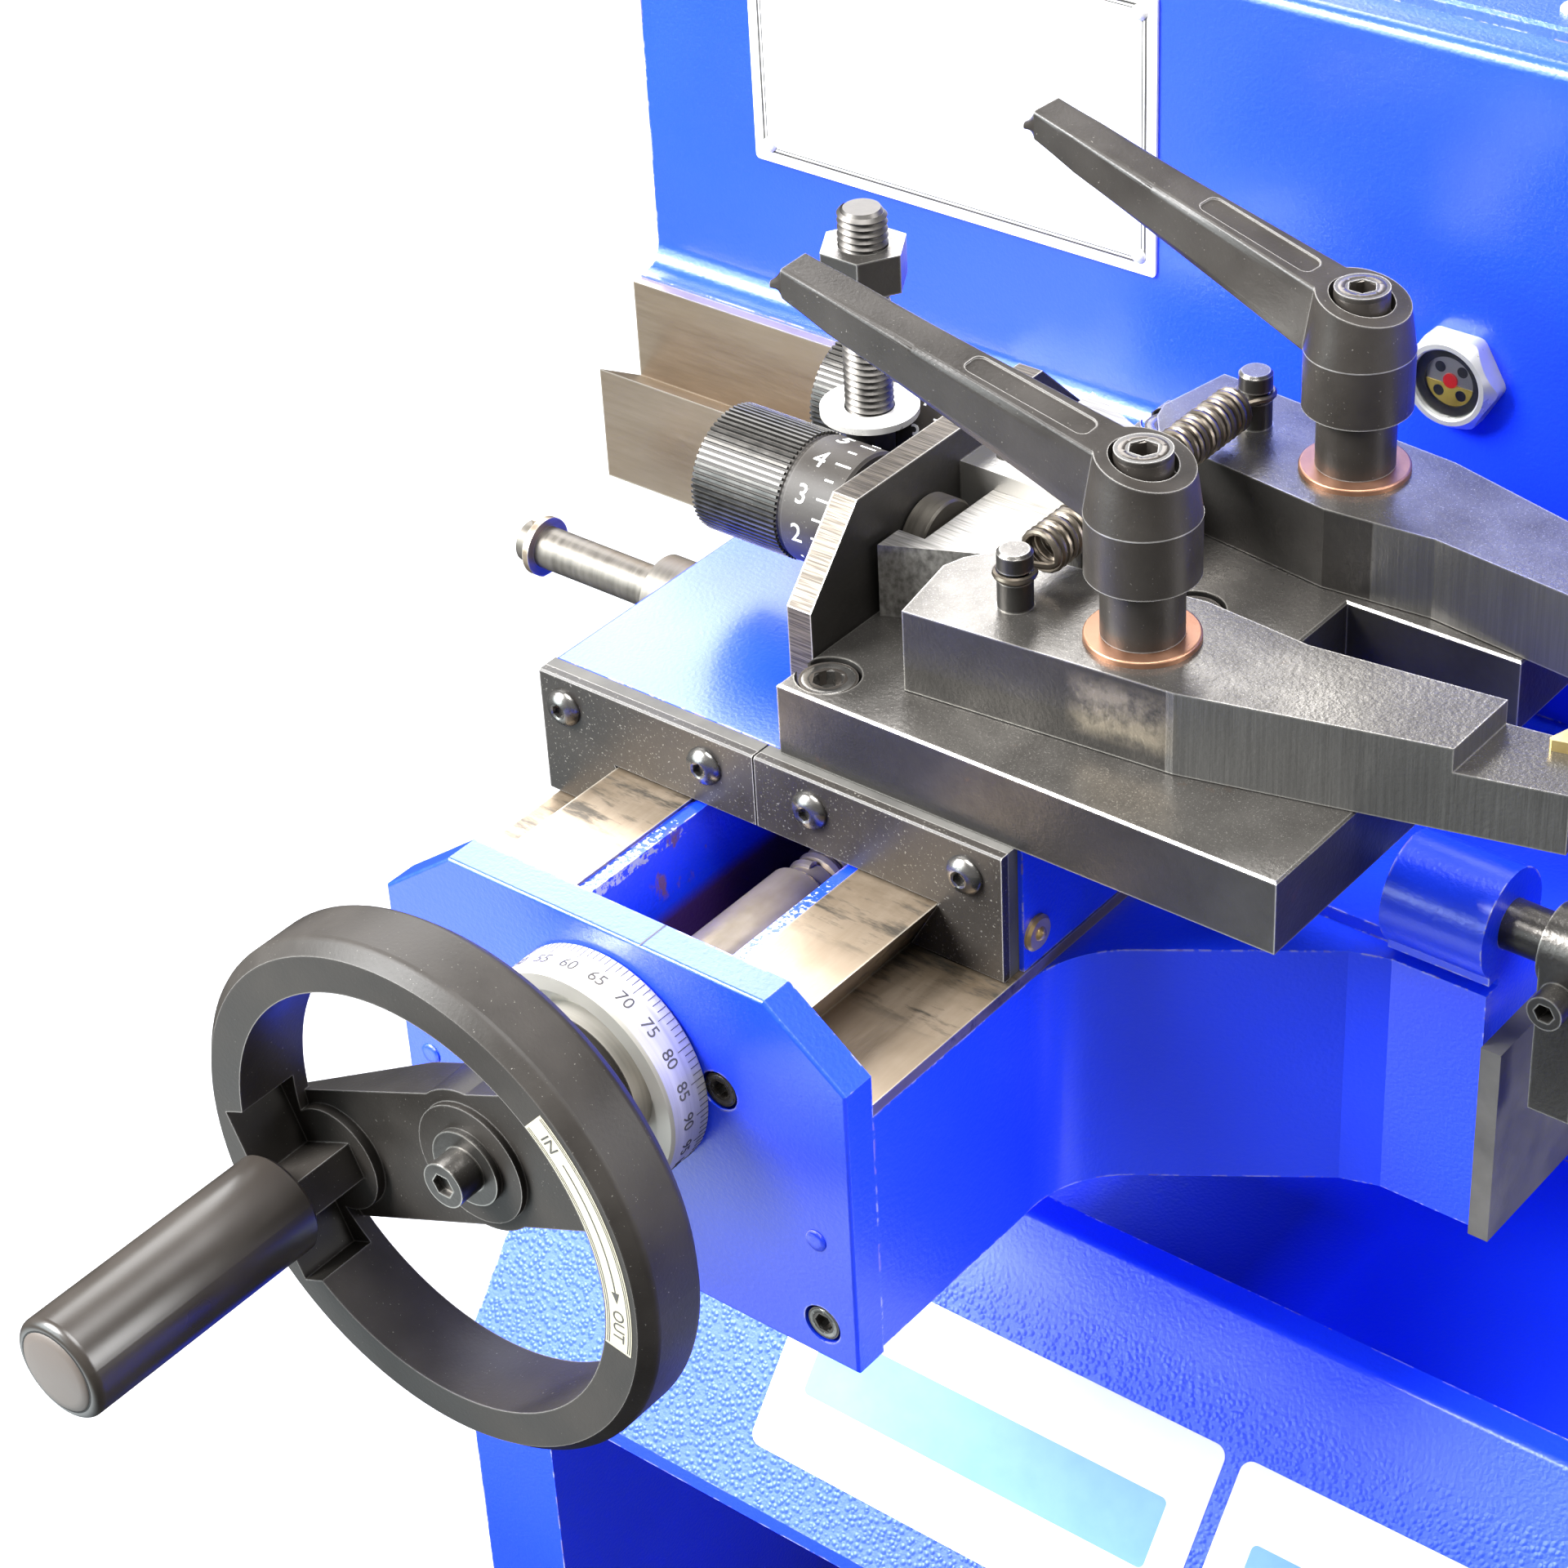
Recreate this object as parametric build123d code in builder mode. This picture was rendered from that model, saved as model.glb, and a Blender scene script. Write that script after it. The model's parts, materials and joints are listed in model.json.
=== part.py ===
from build123d import *
import math
import os

os.makedirs("parts", exist_ok=True)

# Tool frame: x from the cross screw axis, y from the tool plate's front edge, z from the upper saddle's top
screw_x = -127.5
plate_y = -205.0
saddle_z = 500.0

# Fits and gaps
slide_fit = 0.06
turn_fit = 0.05
air = 0.3

# Base and tray
base_left = -147.5
base_right = 402.5
base_front = -5.0
base_back = 415.0
base_wall = 35.0
lip_y = 70.0
lip_z = -197.0
lip_wide = 9.0
apron_foot_z = -292.0
tray_floor_z = -236.0
tray_wall = 9.0
pedestal_y = 225.0
recess_deep = 190.0
foot_size = 56.0
foot_thick = 18.0
foot_hole_r = 6.5
lip_round = 3.0
apron_thick = 6.0
bay_wall = 16.0
bay_floor = 12.0

# Headstock and bed
bed_left = -230.0
bed_right = 405.0
face_y = 222.0
housing_top = 134.7
bed_bottom = -95.0
ledge_z = -15.0
way_y = 208.0
way_strip = 4.0
rail_front = 188.0
rail_top = -40.0
rail_bottom = -81.0
rail_angle = 30.0
ledge_fillet = 8.0
housing_edge = 4.0
lid_inset = 15.0
lid_thick = 4.0
lid_corner = 6.0
lid_edge = 1.0
guard_wide = 57.0
guard_front = 262.0
guard_back = 392.0
guard_low = -400.0
guard_high = 112.0
guard_corner = 20.0
guard_round = 8.0

# Motor
motor_left = 110.0
motor_right = 330.0
motor_y = 312.0
motor_z = -395.0
motor_r = 70.0
motor_nose_r = 38.0
motor_edge = 6.0
motor_foot_long = 160.0
motor_foot_half = 62.0
motor_box_long = 70.0
motor_box_high = 30.0

# Spindle
spindle_x = 330.0
spindle_z = 41.0
spindle_r = 25.0
arbor_r = 12.7
arbor_end_y = 0.0
arbor_tip_r = 12.0
arbor_tip_long = 29.0
cover_r = 46.0
cover_thick = 12.0
cover_edge = 2.0
cover_bolts = 6
cover_bolt_r = 4.0
cover_bolt_high = 4.0
flange_r = 34.0
flange_front = 196.0
flange_thick = 10.0
arbor_edge = 1.5
cup_r = 42.0
cup_wall = 7.0
cup_deep = 12.0
cup_floor = 16.0
spacer_r = 22.0
spacer_long = 46.0
middle_long = 22.0
end_spacer_long = 20.0
arbor_hex = 41.0
arbor_nut_long = 22.0

# Nameplate, sight glass and switches
name_left = -184.0
name_bottom = 36.0
name_width = 154.0
name_height = 90.0
sight_x = 73.5
sight_z = 33.0
sight_hex = 30.0
sight_base = 5.0
sight_ring = 3.0
sight_ring_r = 13.8
sight_glass_r = 10.5
sight_sink = 1.5
name_thick = 1.0
name_corner = 1.5
switch_x = 180.0
switch_low = 59.0
switch_high = 125.0
switch_half = 20.0
switch_thick = 5.0
switch_corner = 4.0
start_z = 109.0
stop_z = 77.0
well_wall = 3.0
well_rise = 3.0
well_floor = 1.0
button_r = 11.0
button_out = 12.0
button_round = 1.5
button_travel = 3.0

# Carriage casting and cross ways
arm_half = 78.0
arm_front = -64.0
arm_bottom = -122.0
flat_z = -40.3
way_top = -23.5
way_out = 55.0
way_in = 28.5
way_angle = 30.0
cast_top = -44.0
rib_in = 24.0
rib_drop = 1.0
channel_z = -75.0
channel_back = 165.0
wing_right = 178.0
wing_left = -105.0
wing_front = 65.0
wing_step = 6.0
wing_back_wall = 95.0
jaw_y = 168.0
deck_z = -60.0
arm_deck_z = -88.0
jaw_bottom = -93.0
jaw_top = -22.0
ways_back = 181.5
boss_y = 76.0
boss_z = -27.0
boss_r = 24.0
boss_left = 148.0
wing_start_y = 20.0
wing_knee = (139.0, 61.5)
wing_shoulder = 150.0
wing_sweep_r = 32.0
trip_lug = 12.0
trip_lug_long = 20.0

# End plate
end_thick = 10.6
end_top = -12.0
end_bottom = -124.0
end_chamfer_x = 25.0
end_chamfer_z = 19.0
end_screw_low = (66.5, -112.4)
end_screw_high = (36.5, -48.2)
end_edge = 1.0
head6_r = 5.0
head6_high = 6.0
bore6_r = 5.9
bore6_deep = 6.5
shank6_r = 3.0

# Cross screw, dial and handwheel
screw_z = -52.5
shank_r = 11.2
shank_end = 6.0
thread_r = 10.0
thread_end = 150.0
journal_r = 8.0
dial_r = 33.4
dial_thick = 14.7
dial_edge = 0.8
dial_rim = 5.5
dial_dish = 6.0
neck_long = 5.0
neck_r = 8.6
screw_edge = 2.0
wheel_r = 75.3
wheel_shoulder = 3.6
wheel_round = 2.5
wheel_front = -149.0
wheel_back = -126.0
wheel_in_r = 61.5
web_front = -127.5
web_thin = 3.0
web_deep = 15.0
web_wide = 39.0
web_angle = 24.0
hub_r = 17.5
hub_front = 2.0
hub_back_r = 21.0
hub_washer_r = 11.0
hub_washer_thick = 2.0
head8_r = 6.5
head8_high = 8.0
key8 = 6.0
handle_at_r = 55.0
boss_r = 15.5
slot_wide = 12.4
slot_floor = 3.0
shank_wide = 10.6
shank_in = 8.0
shank_out = 9.5
stem_r = 6.0
stem_long = 71.0
grip_r = 14.7
grip_gap = 1.5
grip_long = 78.0
grip_round = 2.5
grip_edge = 1.4

# Upper saddle
saddle_left = -81.0
saddle_right = 77.5
saddle_front = 1.6
saddle_back = 160.0
saddle_edge = 1.5
gib_wide = 7.0
gib_short = 1.0
wiper_rubber = 4.0
wiper_plate = 3.0
wiper_split = -5.2
wiper_air = 0.35
wiper_inset = 1.5
wiper_edge = 0.5
wiper_screw_x = (-72.7, -22.5, 13.7, 64.3)
wiper_screw_z = -10.0
button_head_r = 4.9
button_head_h = 2.8
button_taper = 32
button_key = 3.2
button_key_deep = 1.6
nut_half = 19.0
nut_front = 66.0
nut_back = 106.0
oiler_y = 7.0
oiler_z = -30.3
oiler_r = 5.2
oiler_high = 1.6
oiler_edge = 0.8
oiler_ball_r = 2.2
nut_below = 4.0

# Tool plate and arms
plate_long = 154.0
plate_wide = 183.4
plate_thick = 21.7
slot_wide = 51.4
slot_deep = 52.5
plate_edge = 0.6
plate_screw_x = 8.7
plate_screw_y = 11.0
plate_screw_far_x = 69.3
bore10_deep = 11.0
head10_high = 10.0
key10 = 8.0
key10_deep = 5.0
pivot_x = 87.4
pivot_from_mid = 50.7
pivot_r = 8.0
arm_top = 46.3
ledge_top = 39.4
ledge_x = 177.0
ledge_in = 50.3
nose_x = 34.5
arm_tail = (29.7, 75.3)
arm_knee = (108.3, 68.0)
arm_tip = (205.0, 43.1)
arm_tip_in = (202.6, 20.7)
arm_neck = (174.0, 24.9)
arm_waist = (124.0, 30.7)
arm_swell = (92.0, 27.8)
arm_cheek = (27.3, 45.1)
arm_corner = (25.3, 51.4)
insert_points = [(190.5, 29.2), (202.5, 26.2), (194.5, 16.2)]
insert_thick = 3.2
insert_hole_r = 1.6
insert_round = 0.8
post_x = 52.0
post_from_mid = 56.3
post_r = 4.8
post_top = 63.0
groove_z = 56.1
groove_r = 3.7
groove_half = 1.6
post_edge = 0.8
head10_r = 8.0
bore10_r = 9.0

# Knobs, wedges, bracket and stud
bracket_thick = 8.0
bracket_end = 15.5
bracket_top = 59.4
bracket_chamfer_y = 21.5
bracket_chamfer_z = 24.4
bracket_rear_in = 62.4
bracket_rear_drop = 46.0
knob_from_mid = 26.5
knob_z = 34.5
knob_r = 18.5
ring_r = 18.1
knob_edge = 1.0
knob_left = -68.0
ring_left = -36.0
ring_right = -18.0
sleeve_r = 10.0
knob_screw_r = 5.0
collar_r = 12.5
collar_long = 8.0
block_half = 9.5
block_long = 50.0
block_top = 49.5
block_screw_x = 9.0
block_screw_r = 3.2
block_screw_deep = 5.0
wedge_top = 44.0
wedge_left = 2.3
wedge_right = 40.0
wedge_slope = 0.457
wedge_start_in = 49.9
wedge_room = 3.0
collar_room = 1.5
wedge_cap = 6.0
knob_screw_short = 4.0
stud_x = -38.2
stud_r = 7.0
stud_top = 111.2
stud_foot = -22.0
stud_edge = 1.2
nut_low = 88.8
nut_high = 11.5
nut_hex = 22.0
washer_z = 48.6
washer_r = 14.0
washer_thick = 2.0
washer_loose = 0.15

# Clamp levers
copper_r = 15.2
copper_thick = 1.8
copper_loose = 0.2
copper_round = 0.6
spacer_r2 = 10.9
spacer_top = 66.0
lever_hub_r = 15.0
lever_part_z = 83.0
lever_top = 98.0
lever_peak = 103.0
lever_peak_r = 12.1
lever_rise = 0.24
lever_root = 4.0
lever_root_low = 77.2
lever_root_wide = 16.0
lever_bend = 92.0
lever_bend_low = 108.8
lever_bend_wide = 12.0
lever_far = 106.0
lever_far_low = 114.6
lever_far_wide = 11.4
lever_tip = 110.5
lever_tip_low = 116.2
lever_tip_drop = 6.0
lever_tip_wide = 9.6
lever_round = 1.0
pad_start = 14.5
pad_end = 52.0
pad_wide = 8.0
pad_round = 2.6
pad_deep = 0.5
nub_at = 90.5
nub_z = 108.0
nub_r = 1.6
nub_wide = 6.0
lever_cup_r = 8.8
lever_cup_deep = 6.0
lever_head_r = 7.5
lever_head_high = 9.0
lever_key = 7.0
lever_key_deep = 6.0
front_lever_angle = 181.4
rear_lever_angle = 176.0
stud_in_hub = 4.0

# Arm spring
wire_r = 0.9
coil_r = 5.6
coil_turns = 24
coil_start = 10.8
hook_r = 5.0
hook_wrap = 290

# Carriage feed parts
trip_y = 150.0
trip_z = -88.7
trip_r = 7.2
trip_left = -233.0
trip_collar_x = -174.0
trip_collar_r = 13.0
trip_collar_long = 12.0
pin_from_end = 4.0
split_pin_r = 1.5
split_pin_low = 5.0
split_pin_high = 2.5
end_washer_thick = 2.5
end_washer_wide = 3.0
feed_y = 125.0
feed_z = -108.0
feed_r = 9.0
feed_left = 15.0
bearing_left = 340.0
bearing_right = 400.0
bearing_half = 15.0
bearing_drop = 1.0
stub_long = 34.0
stub_r = 6.8
feed_edge = 2.0
feed_collar_r = 13.5
feed_collar_long = 6.0
feed_nut_left = 130.0
feed_nut_long = 35.0
carriage_wiper_thick = 6.0
carriage_wiper_back = 109.0
crank_r = 66.0
crank_gap = 10.0
crank_thick = 20.0
crank_web = 8.0
crank_rim = 9.0
crank_hub_r = 14.0
crank_knob_r = 7.0
crank_knob_at = 42.0
crank_knob_long = 28.0
lever_shaft_r = 7.0
lever_shaft_end = 214.0
dog_left = 191.0
dog_right = 205.0
dog_r = 11.0
dog_foot_z = -74.0
dog_finger = 7.0
dog_screw_drop = 9.0
dog_screw_r = 5.0
dog_screw_out = 7.0

mid_y = plate_wide / 2
on_base = (Align.CENTER, Align.CENTER, Align.MIN)


def front(y):
    return Plane(origin=(screw_x, plate_y + y, saddle_z), x_dir=(1, 0, 0), z_dir=(0, -1, 0))


def side(x):
    return Plane(origin=(screw_x + x, plate_y, saddle_z), x_dir=(0, 1, 0), z_dir=(1, 0, 0))


def level(z):
    return Plane(origin=(screw_x, plate_y, saddle_z + z))


def bar_x(x0, x1, y, z, r, mode=Mode.ADD):
    with Locations(side(x0).location * Pos(y, z, 0)):
        Cylinder(r, x1 - x0, align=on_base, mode=mode)


def bar_y(y0, y1, x, z, r, mode=Mode.ADD):
    with Locations(front(y1).location * Pos(x, z, 0)):
        Cylinder(r, y1 - y0, align=on_base, mode=mode)


def bar_z(z0, z1, x, y, r, mode=Mode.ADD):
    with Locations(level(z0).location * Pos(x, y, 0)):
        Cylinder(r, z1 - z0, align=on_base, mode=mode)


def block(x0, x1, y0, y1, z0, z1, mode=Mode.ADD):
    with Locations(level(z0).location * Pos(x0, y0, 0)):
        Box(x1 - x0, y1 - y0, z1 - z0, align=(Align.MIN, Align.MIN, Align.MIN), mode=mode)


def prism(plane, points, amount, mode=Mode.ADD):
    with BuildSketch(plane) as outline:
        with BuildLine():
            Polyline(*points, close=True)
        make_face()
    extrude(outline.sketch, amount=amount, mode=mode)


def hexagon(plane, at, across, amount, mode=Mode.ADD):
    with BuildSketch(plane) as outline:
        with Locations(at):
            RegularPolygon(across / math.sqrt(3), 6)
    extrude(outline.sketch, amount=amount, mode=mode)


def save(node, name):
    node.part.label = name
    export_step(node.part, f"parts/{name}.step")


base_mid_x = (base_left + base_right) / 2
foot_dx = base_right - base_left - 2 * base_wall - foot_size
foot_dy = base_back - base_front - foot_size
recess_back = base_front + recess_deep
recess_top = apron_foot_z - apron_thick
bay_front = recess_back + bay_wall
floor_z = bay_floor - saddle_z

# Base: sloping apron, chip tray, open arch in front and motor bay behind
with BuildPart() as base_casting:
    prism(
        side(base_left),
        [
            (base_front, -saddle_z),
            (base_back, -saddle_z),
            (base_back, bed_bottom),
            (pedestal_y, bed_bottom),
            (pedestal_y, lip_z),
            (lip_y, lip_z),
            (base_front, apron_foot_z),
        ],
        base_right - base_left,
    )
    block(base_left + tray_wall, base_right - tray_wall, lip_y + lip_wide, pedestal_y,
          tray_floor_z, 0, Mode.SUBTRACT)
    block(base_left + base_wall, base_right - base_wall, base_front - 1, recess_back,
          -saddle_z, recess_top, Mode.SUBTRACT)
    block(base_left + base_wall, base_right - base_wall, bay_front, base_back + 1,
          floor_z, tray_floor_z - bay_wall, Mode.SUBTRACT)
    block(base_left + base_wall, base_right - base_wall, pedestal_y + bay_wall, base_back + 1,
          floor_z, bed_bottom - bay_wall, Mode.SUBTRACT)
    with Locations(level(-saddle_z).location * Pos(base_mid_x, (base_front + base_back) / 2, 0)):
        with GridLocations(foot_dx, foot_dy, 2, 2):
            Box(foot_size, foot_size, foot_thick, align=on_base)
    with Locations(level(-saddle_z).location * Pos(base_mid_x, (base_front + base_back) / 2, 0)):
        with GridLocations(foot_dx, foot_dy, 2, 2):
            Cylinder(foot_hole_r, foot_thick, align=on_base, mode=Mode.SUBTRACT)
    lip_at = level(lip_z).from_local_coords((base_mid_x, lip_y, 0))
    fillet(base_casting.edges().filter_by(Axis.X).sort_by_distance(lip_at)[0], lip_round)
save(base_casting, "base_casting")

spindle_back = base_back - base_wall / 2

# Headstock: box over a bed block, with the spindle bore
with BuildPart() as headstock_housing:
    with BuildSketch(side(bed_left)) as section:
        with BuildLine():
            Polyline(
                (way_y + way_strip, bed_bottom),
                (base_back, bed_bottom),
                (base_back, housing_top),
                (face_y, housing_top),
                (face_y, ledge_z),
                (way_y + way_strip, ledge_z),
                close=True,
            )
        make_face()
        fillet(section.vertices().sort_by_distance((face_y, ledge_z))[0], ledge_fillet)
        fillet(section.vertices().group_by(Axis.Y)[-1], housing_edge)
    extrude(section.sketch, amount=bed_right - bed_left)
    bar_y(face_y - 1, spindle_back, spindle_x, spindle_z, spindle_r + turn_fit, Mode.SUBTRACT)
save(headstock_housing, "headstock_housing")

rail_drop = (way_y - rail_front) * math.tan(math.radians(rail_angle))

# Bed way: vertical flats with a dovetail standing forward of them
with BuildPart() as bed_way:
    prism(
        side(bed_left),
        [
            (way_y, ledge_z - 1),
            (way_y + way_strip, ledge_z - 1),
            (way_y + way_strip, jaw_bottom),
            (way_y, jaw_bottom),
            (way_y, rail_bottom + rail_drop),
            (rail_front, rail_bottom),
            (rail_front, rail_top),
            (way_y, rail_top - rail_drop),
        ],
        bed_right - bed_left,
    )
save(bed_way, "bed_way")

# Lid of the headstock
with BuildPart() as headstock_lid:
    block(bed_left + lid_inset, bed_right - lid_inset, face_y + lid_inset, base_back - lid_inset,
          housing_top, housing_top + lid_thick)
    fillet(headstock_lid.edges().filter_by(Axis.Z), lid_corner)
    chamfer(headstock_lid.faces().sort_by(Axis.Z)[-1].edges(), lid_edge)
save(headstock_lid, "headstock_lid")

# Bare nameplate
with BuildPart() as nameplate:
    block(name_left, name_left + name_width, face_y - name_thick, face_y,
          name_bottom, name_bottom + name_height)
    fillet(nameplate.edges().filter_by(Axis.Y), name_corner)
save(nameplate, "nameplate")

sight_face = face_y - sight_base - sight_ring

# Oil sight glass: hex bezel with a round window
with BuildPart() as sight_bezel:
    hexagon(front(face_y), (sight_x, sight_z), sight_hex, sight_base)
    bar_y(sight_face, face_y - sight_base, sight_x, sight_z, sight_ring_r)
    bar_y(sight_face, face_y - sight_base + sight_sink, sight_x, sight_z, sight_glass_r, Mode.SUBTRACT)
save(sight_bezel, "sight_bezel")

with BuildPart() as sight_window:
    bar_y(sight_face + sight_sink, face_y - sight_base + sight_sink, sight_x, sight_z, sight_glass_r)
save(sight_window, "sight_window")

# Bearing cover round the spindle
with BuildPart() as spindle_cover:
    bar_y(face_y - cover_thick, face_y, spindle_x, spindle_z, cover_r)
    bar_y(face_y - cover_thick, face_y, spindle_x, spindle_z, spindle_r + air, Mode.SUBTRACT)
    front_rings = spindle_cover.edges().filter_by(GeomType.CIRCLE).group_by(Axis.Y)[0]
    chamfer(front_rings.sort_by(SortBy.RADIUS)[-1], cover_edge)
    with Locations(front(face_y - cover_thick).location * Pos(spindle_x, spindle_z, 0)):
        with PolarLocations((cover_r + spindle_r) / 2, cover_bolts):
            Cylinder(cover_bolt_r, cover_bolt_high, align=on_base)
save(spindle_cover, "spindle_cover")

well_face = face_y - switch_thick - well_rise

# Switch plate with two button wells
with BuildPart() as switch_plate:
    block(switch_x - switch_half, switch_x + switch_half, face_y - switch_thick, face_y,
          switch_low, switch_high)
    fillet(switch_plate.edges().filter_by(Axis.Y), switch_corner)
    for well_z in (start_z, stop_z):
        bar_y(well_face, face_y - switch_thick, switch_x, well_z, button_r + well_wall)
        bar_y(well_face, face_y - well_floor, switch_x, well_z, button_r + turn_fit, Mode.SUBTRACT)
save(switch_plate, "switch_plate")

for button, well_z in (("start_button", start_z), ("stop_button", stop_z)):
    with BuildPart() as push_button:
        bar_y(face_y - button_out, face_y - well_floor - button_travel - air, switch_x, well_z, button_r)
        fillet(push_button.edges().sort_by(Axis.Y)[0], button_round)
    save(push_button, button)

# Closed belt guard on the right end
with BuildPart() as belt_guard:
    prism(
        side(bed_right),
        [
            (guard_front, guard_low),
            (guard_back, guard_low),
            (guard_back, guard_high - guard_corner),
            (guard_back - guard_corner, guard_high),
            (guard_front + guard_corner, guard_high),
            (guard_front, guard_high - guard_corner),
        ],
        guard_wide,
    )
    fillet(belt_guard.faces().sort_by(Axis.X)[-1].edges(), guard_round)
    block(base_right, bed_right, guard_front, guard_back, guard_low, bed_bottom)
save(belt_guard, "belt_guard")

# Motor in the bay behind the tray
motor_mid = (motor_left + motor_right) / 2
with BuildPart() as motor:
    bar_x(motor_left, motor_right, motor_y, motor_z, motor_r)
    bar_x(motor_right, base_right - base_wall, motor_y, motor_z, motor_nose_r)
    block(motor_mid - motor_foot_long / 2, motor_mid + motor_foot_long / 2, motor_y - motor_foot_half,
          motor_y + motor_foot_half, floor_z, motor_z - motor_r / 2)
    block(motor_mid - motor_box_long / 2, motor_mid + motor_box_long / 2, motor_y - motor_box_long / 2,
          motor_y + motor_box_long / 2, motor_z + motor_r / 2, motor_z + motor_r + motor_box_high)
    chamfer(motor.faces().sort_by(Axis.X)[0].edges(), motor_edge)
save(motor, "motor")

# Bearing block of the feed screw
with BuildPart() as feed_bearing:
    block(bearing_left, bearing_right, feed_y - bearing_half, pedestal_y, feed_z - bearing_half,
          bed_bottom - bearing_drop)
    bar_x(bearing_left, bearing_right, feed_y, feed_z, feed_r + turn_fit, Mode.SUBTRACT)
save(feed_bearing, "feed_bearing")

# Spindle with its arbor
with BuildPart() as spindle_shaft:
    bar_y(flange_front + flange_thick, spindle_back - 1, spindle_x, spindle_z, spindle_r)
    bar_y(flange_front, flange_front + flange_thick, spindle_x, spindle_z, flange_r)
    bar_y(arbor_end_y + arbor_tip_long, flange_front, spindle_x, spindle_z, arbor_r)
    bar_y(arbor_end_y, arbor_end_y + arbor_tip_long, spindle_x, spindle_z, arbor_tip_r)
    chamfer(spindle_shaft.faces().sort_by(Axis.Y)[0].edges(), arbor_edge)
save(spindle_shaft, "spindle_shaft")

back_cup = flange_front - spacer_long - cup_floor
front_cup = back_cup - 2 * cup_deep - middle_long
stack_front = front_cup - cup_floor - end_spacer_long

# Spacers and clamping cups stacked on the arbor
with BuildPart() as arbor_adapters:
    bar_y(stack_front, flange_front, spindle_x, spindle_z, spacer_r)
    bar_y(back_cup, back_cup + cup_floor, spindle_x, spindle_z, cup_r)
    bar_y(back_cup - cup_deep, back_cup, spindle_x, spindle_z, cup_r)
    bar_y(front_cup - cup_floor, front_cup + cup_deep, spindle_x, spindle_z, cup_r)
    for dish in (back_cup - cup_deep, front_cup):
        with Locations(front(dish + cup_deep).location * Pos(spindle_x, spindle_z, 0)):
            Cylinder(cup_r - cup_wall, cup_deep, align=on_base, mode=Mode.SUBTRACT)
            Cylinder(spacer_r, cup_deep, align=on_base)
    bar_y(stack_front, flange_front, spindle_x, spindle_z, arbor_r, Mode.SUBTRACT)
save(arbor_adapters, "arbor_adapters")

with BuildPart() as arbor_nut:
    hexagon(front(stack_front), (spindle_x, spindle_z), arbor_hex, arbor_nut_long)
    bar_y(stack_front - arbor_nut_long, stack_front, spindle_x, spindle_z, arbor_r, Mode.SUBTRACT)
save(arbor_nut, "arbor_nut")

crank_back = bearing_right + crank_gap
crank_face = crank_back + crank_thick

# Feed screw and its crank wheel at the right end
with BuildPart() as feed_screw:
    bar_x(feed_left, bearing_right, feed_y, feed_z, feed_r)
    bar_x(bearing_right, bearing_right + stub_long, feed_y, feed_z, stub_r)
    bar_x(bearing_right + air, bearing_right + feed_collar_long, feed_y, feed_z, feed_collar_r)
    chamfer(feed_screw.faces().sort_by(Axis.X)[0].edges(), feed_edge)
save(feed_screw, "feed_screw")

with BuildPart() as feed_crank:
    bar_x(crank_back, crank_face, feed_y, feed_z, crank_r)
    bar_x(crank_back + crank_web, crank_face, feed_y, feed_z, crank_r - crank_rim, Mode.SUBTRACT)
    bar_x(crank_back + crank_web, crank_face, feed_y, feed_z, crank_hub_r)
    bar_x(crank_back + crank_web, crank_back + crank_web + crank_knob_long, feed_y, feed_z + crank_knob_at,
          crank_knob_r)
    bar_x(crank_back, crank_face + stub_long, feed_y, feed_z, stub_r, Mode.SUBTRACT)
save(feed_crank, "feed_crank")

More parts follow.
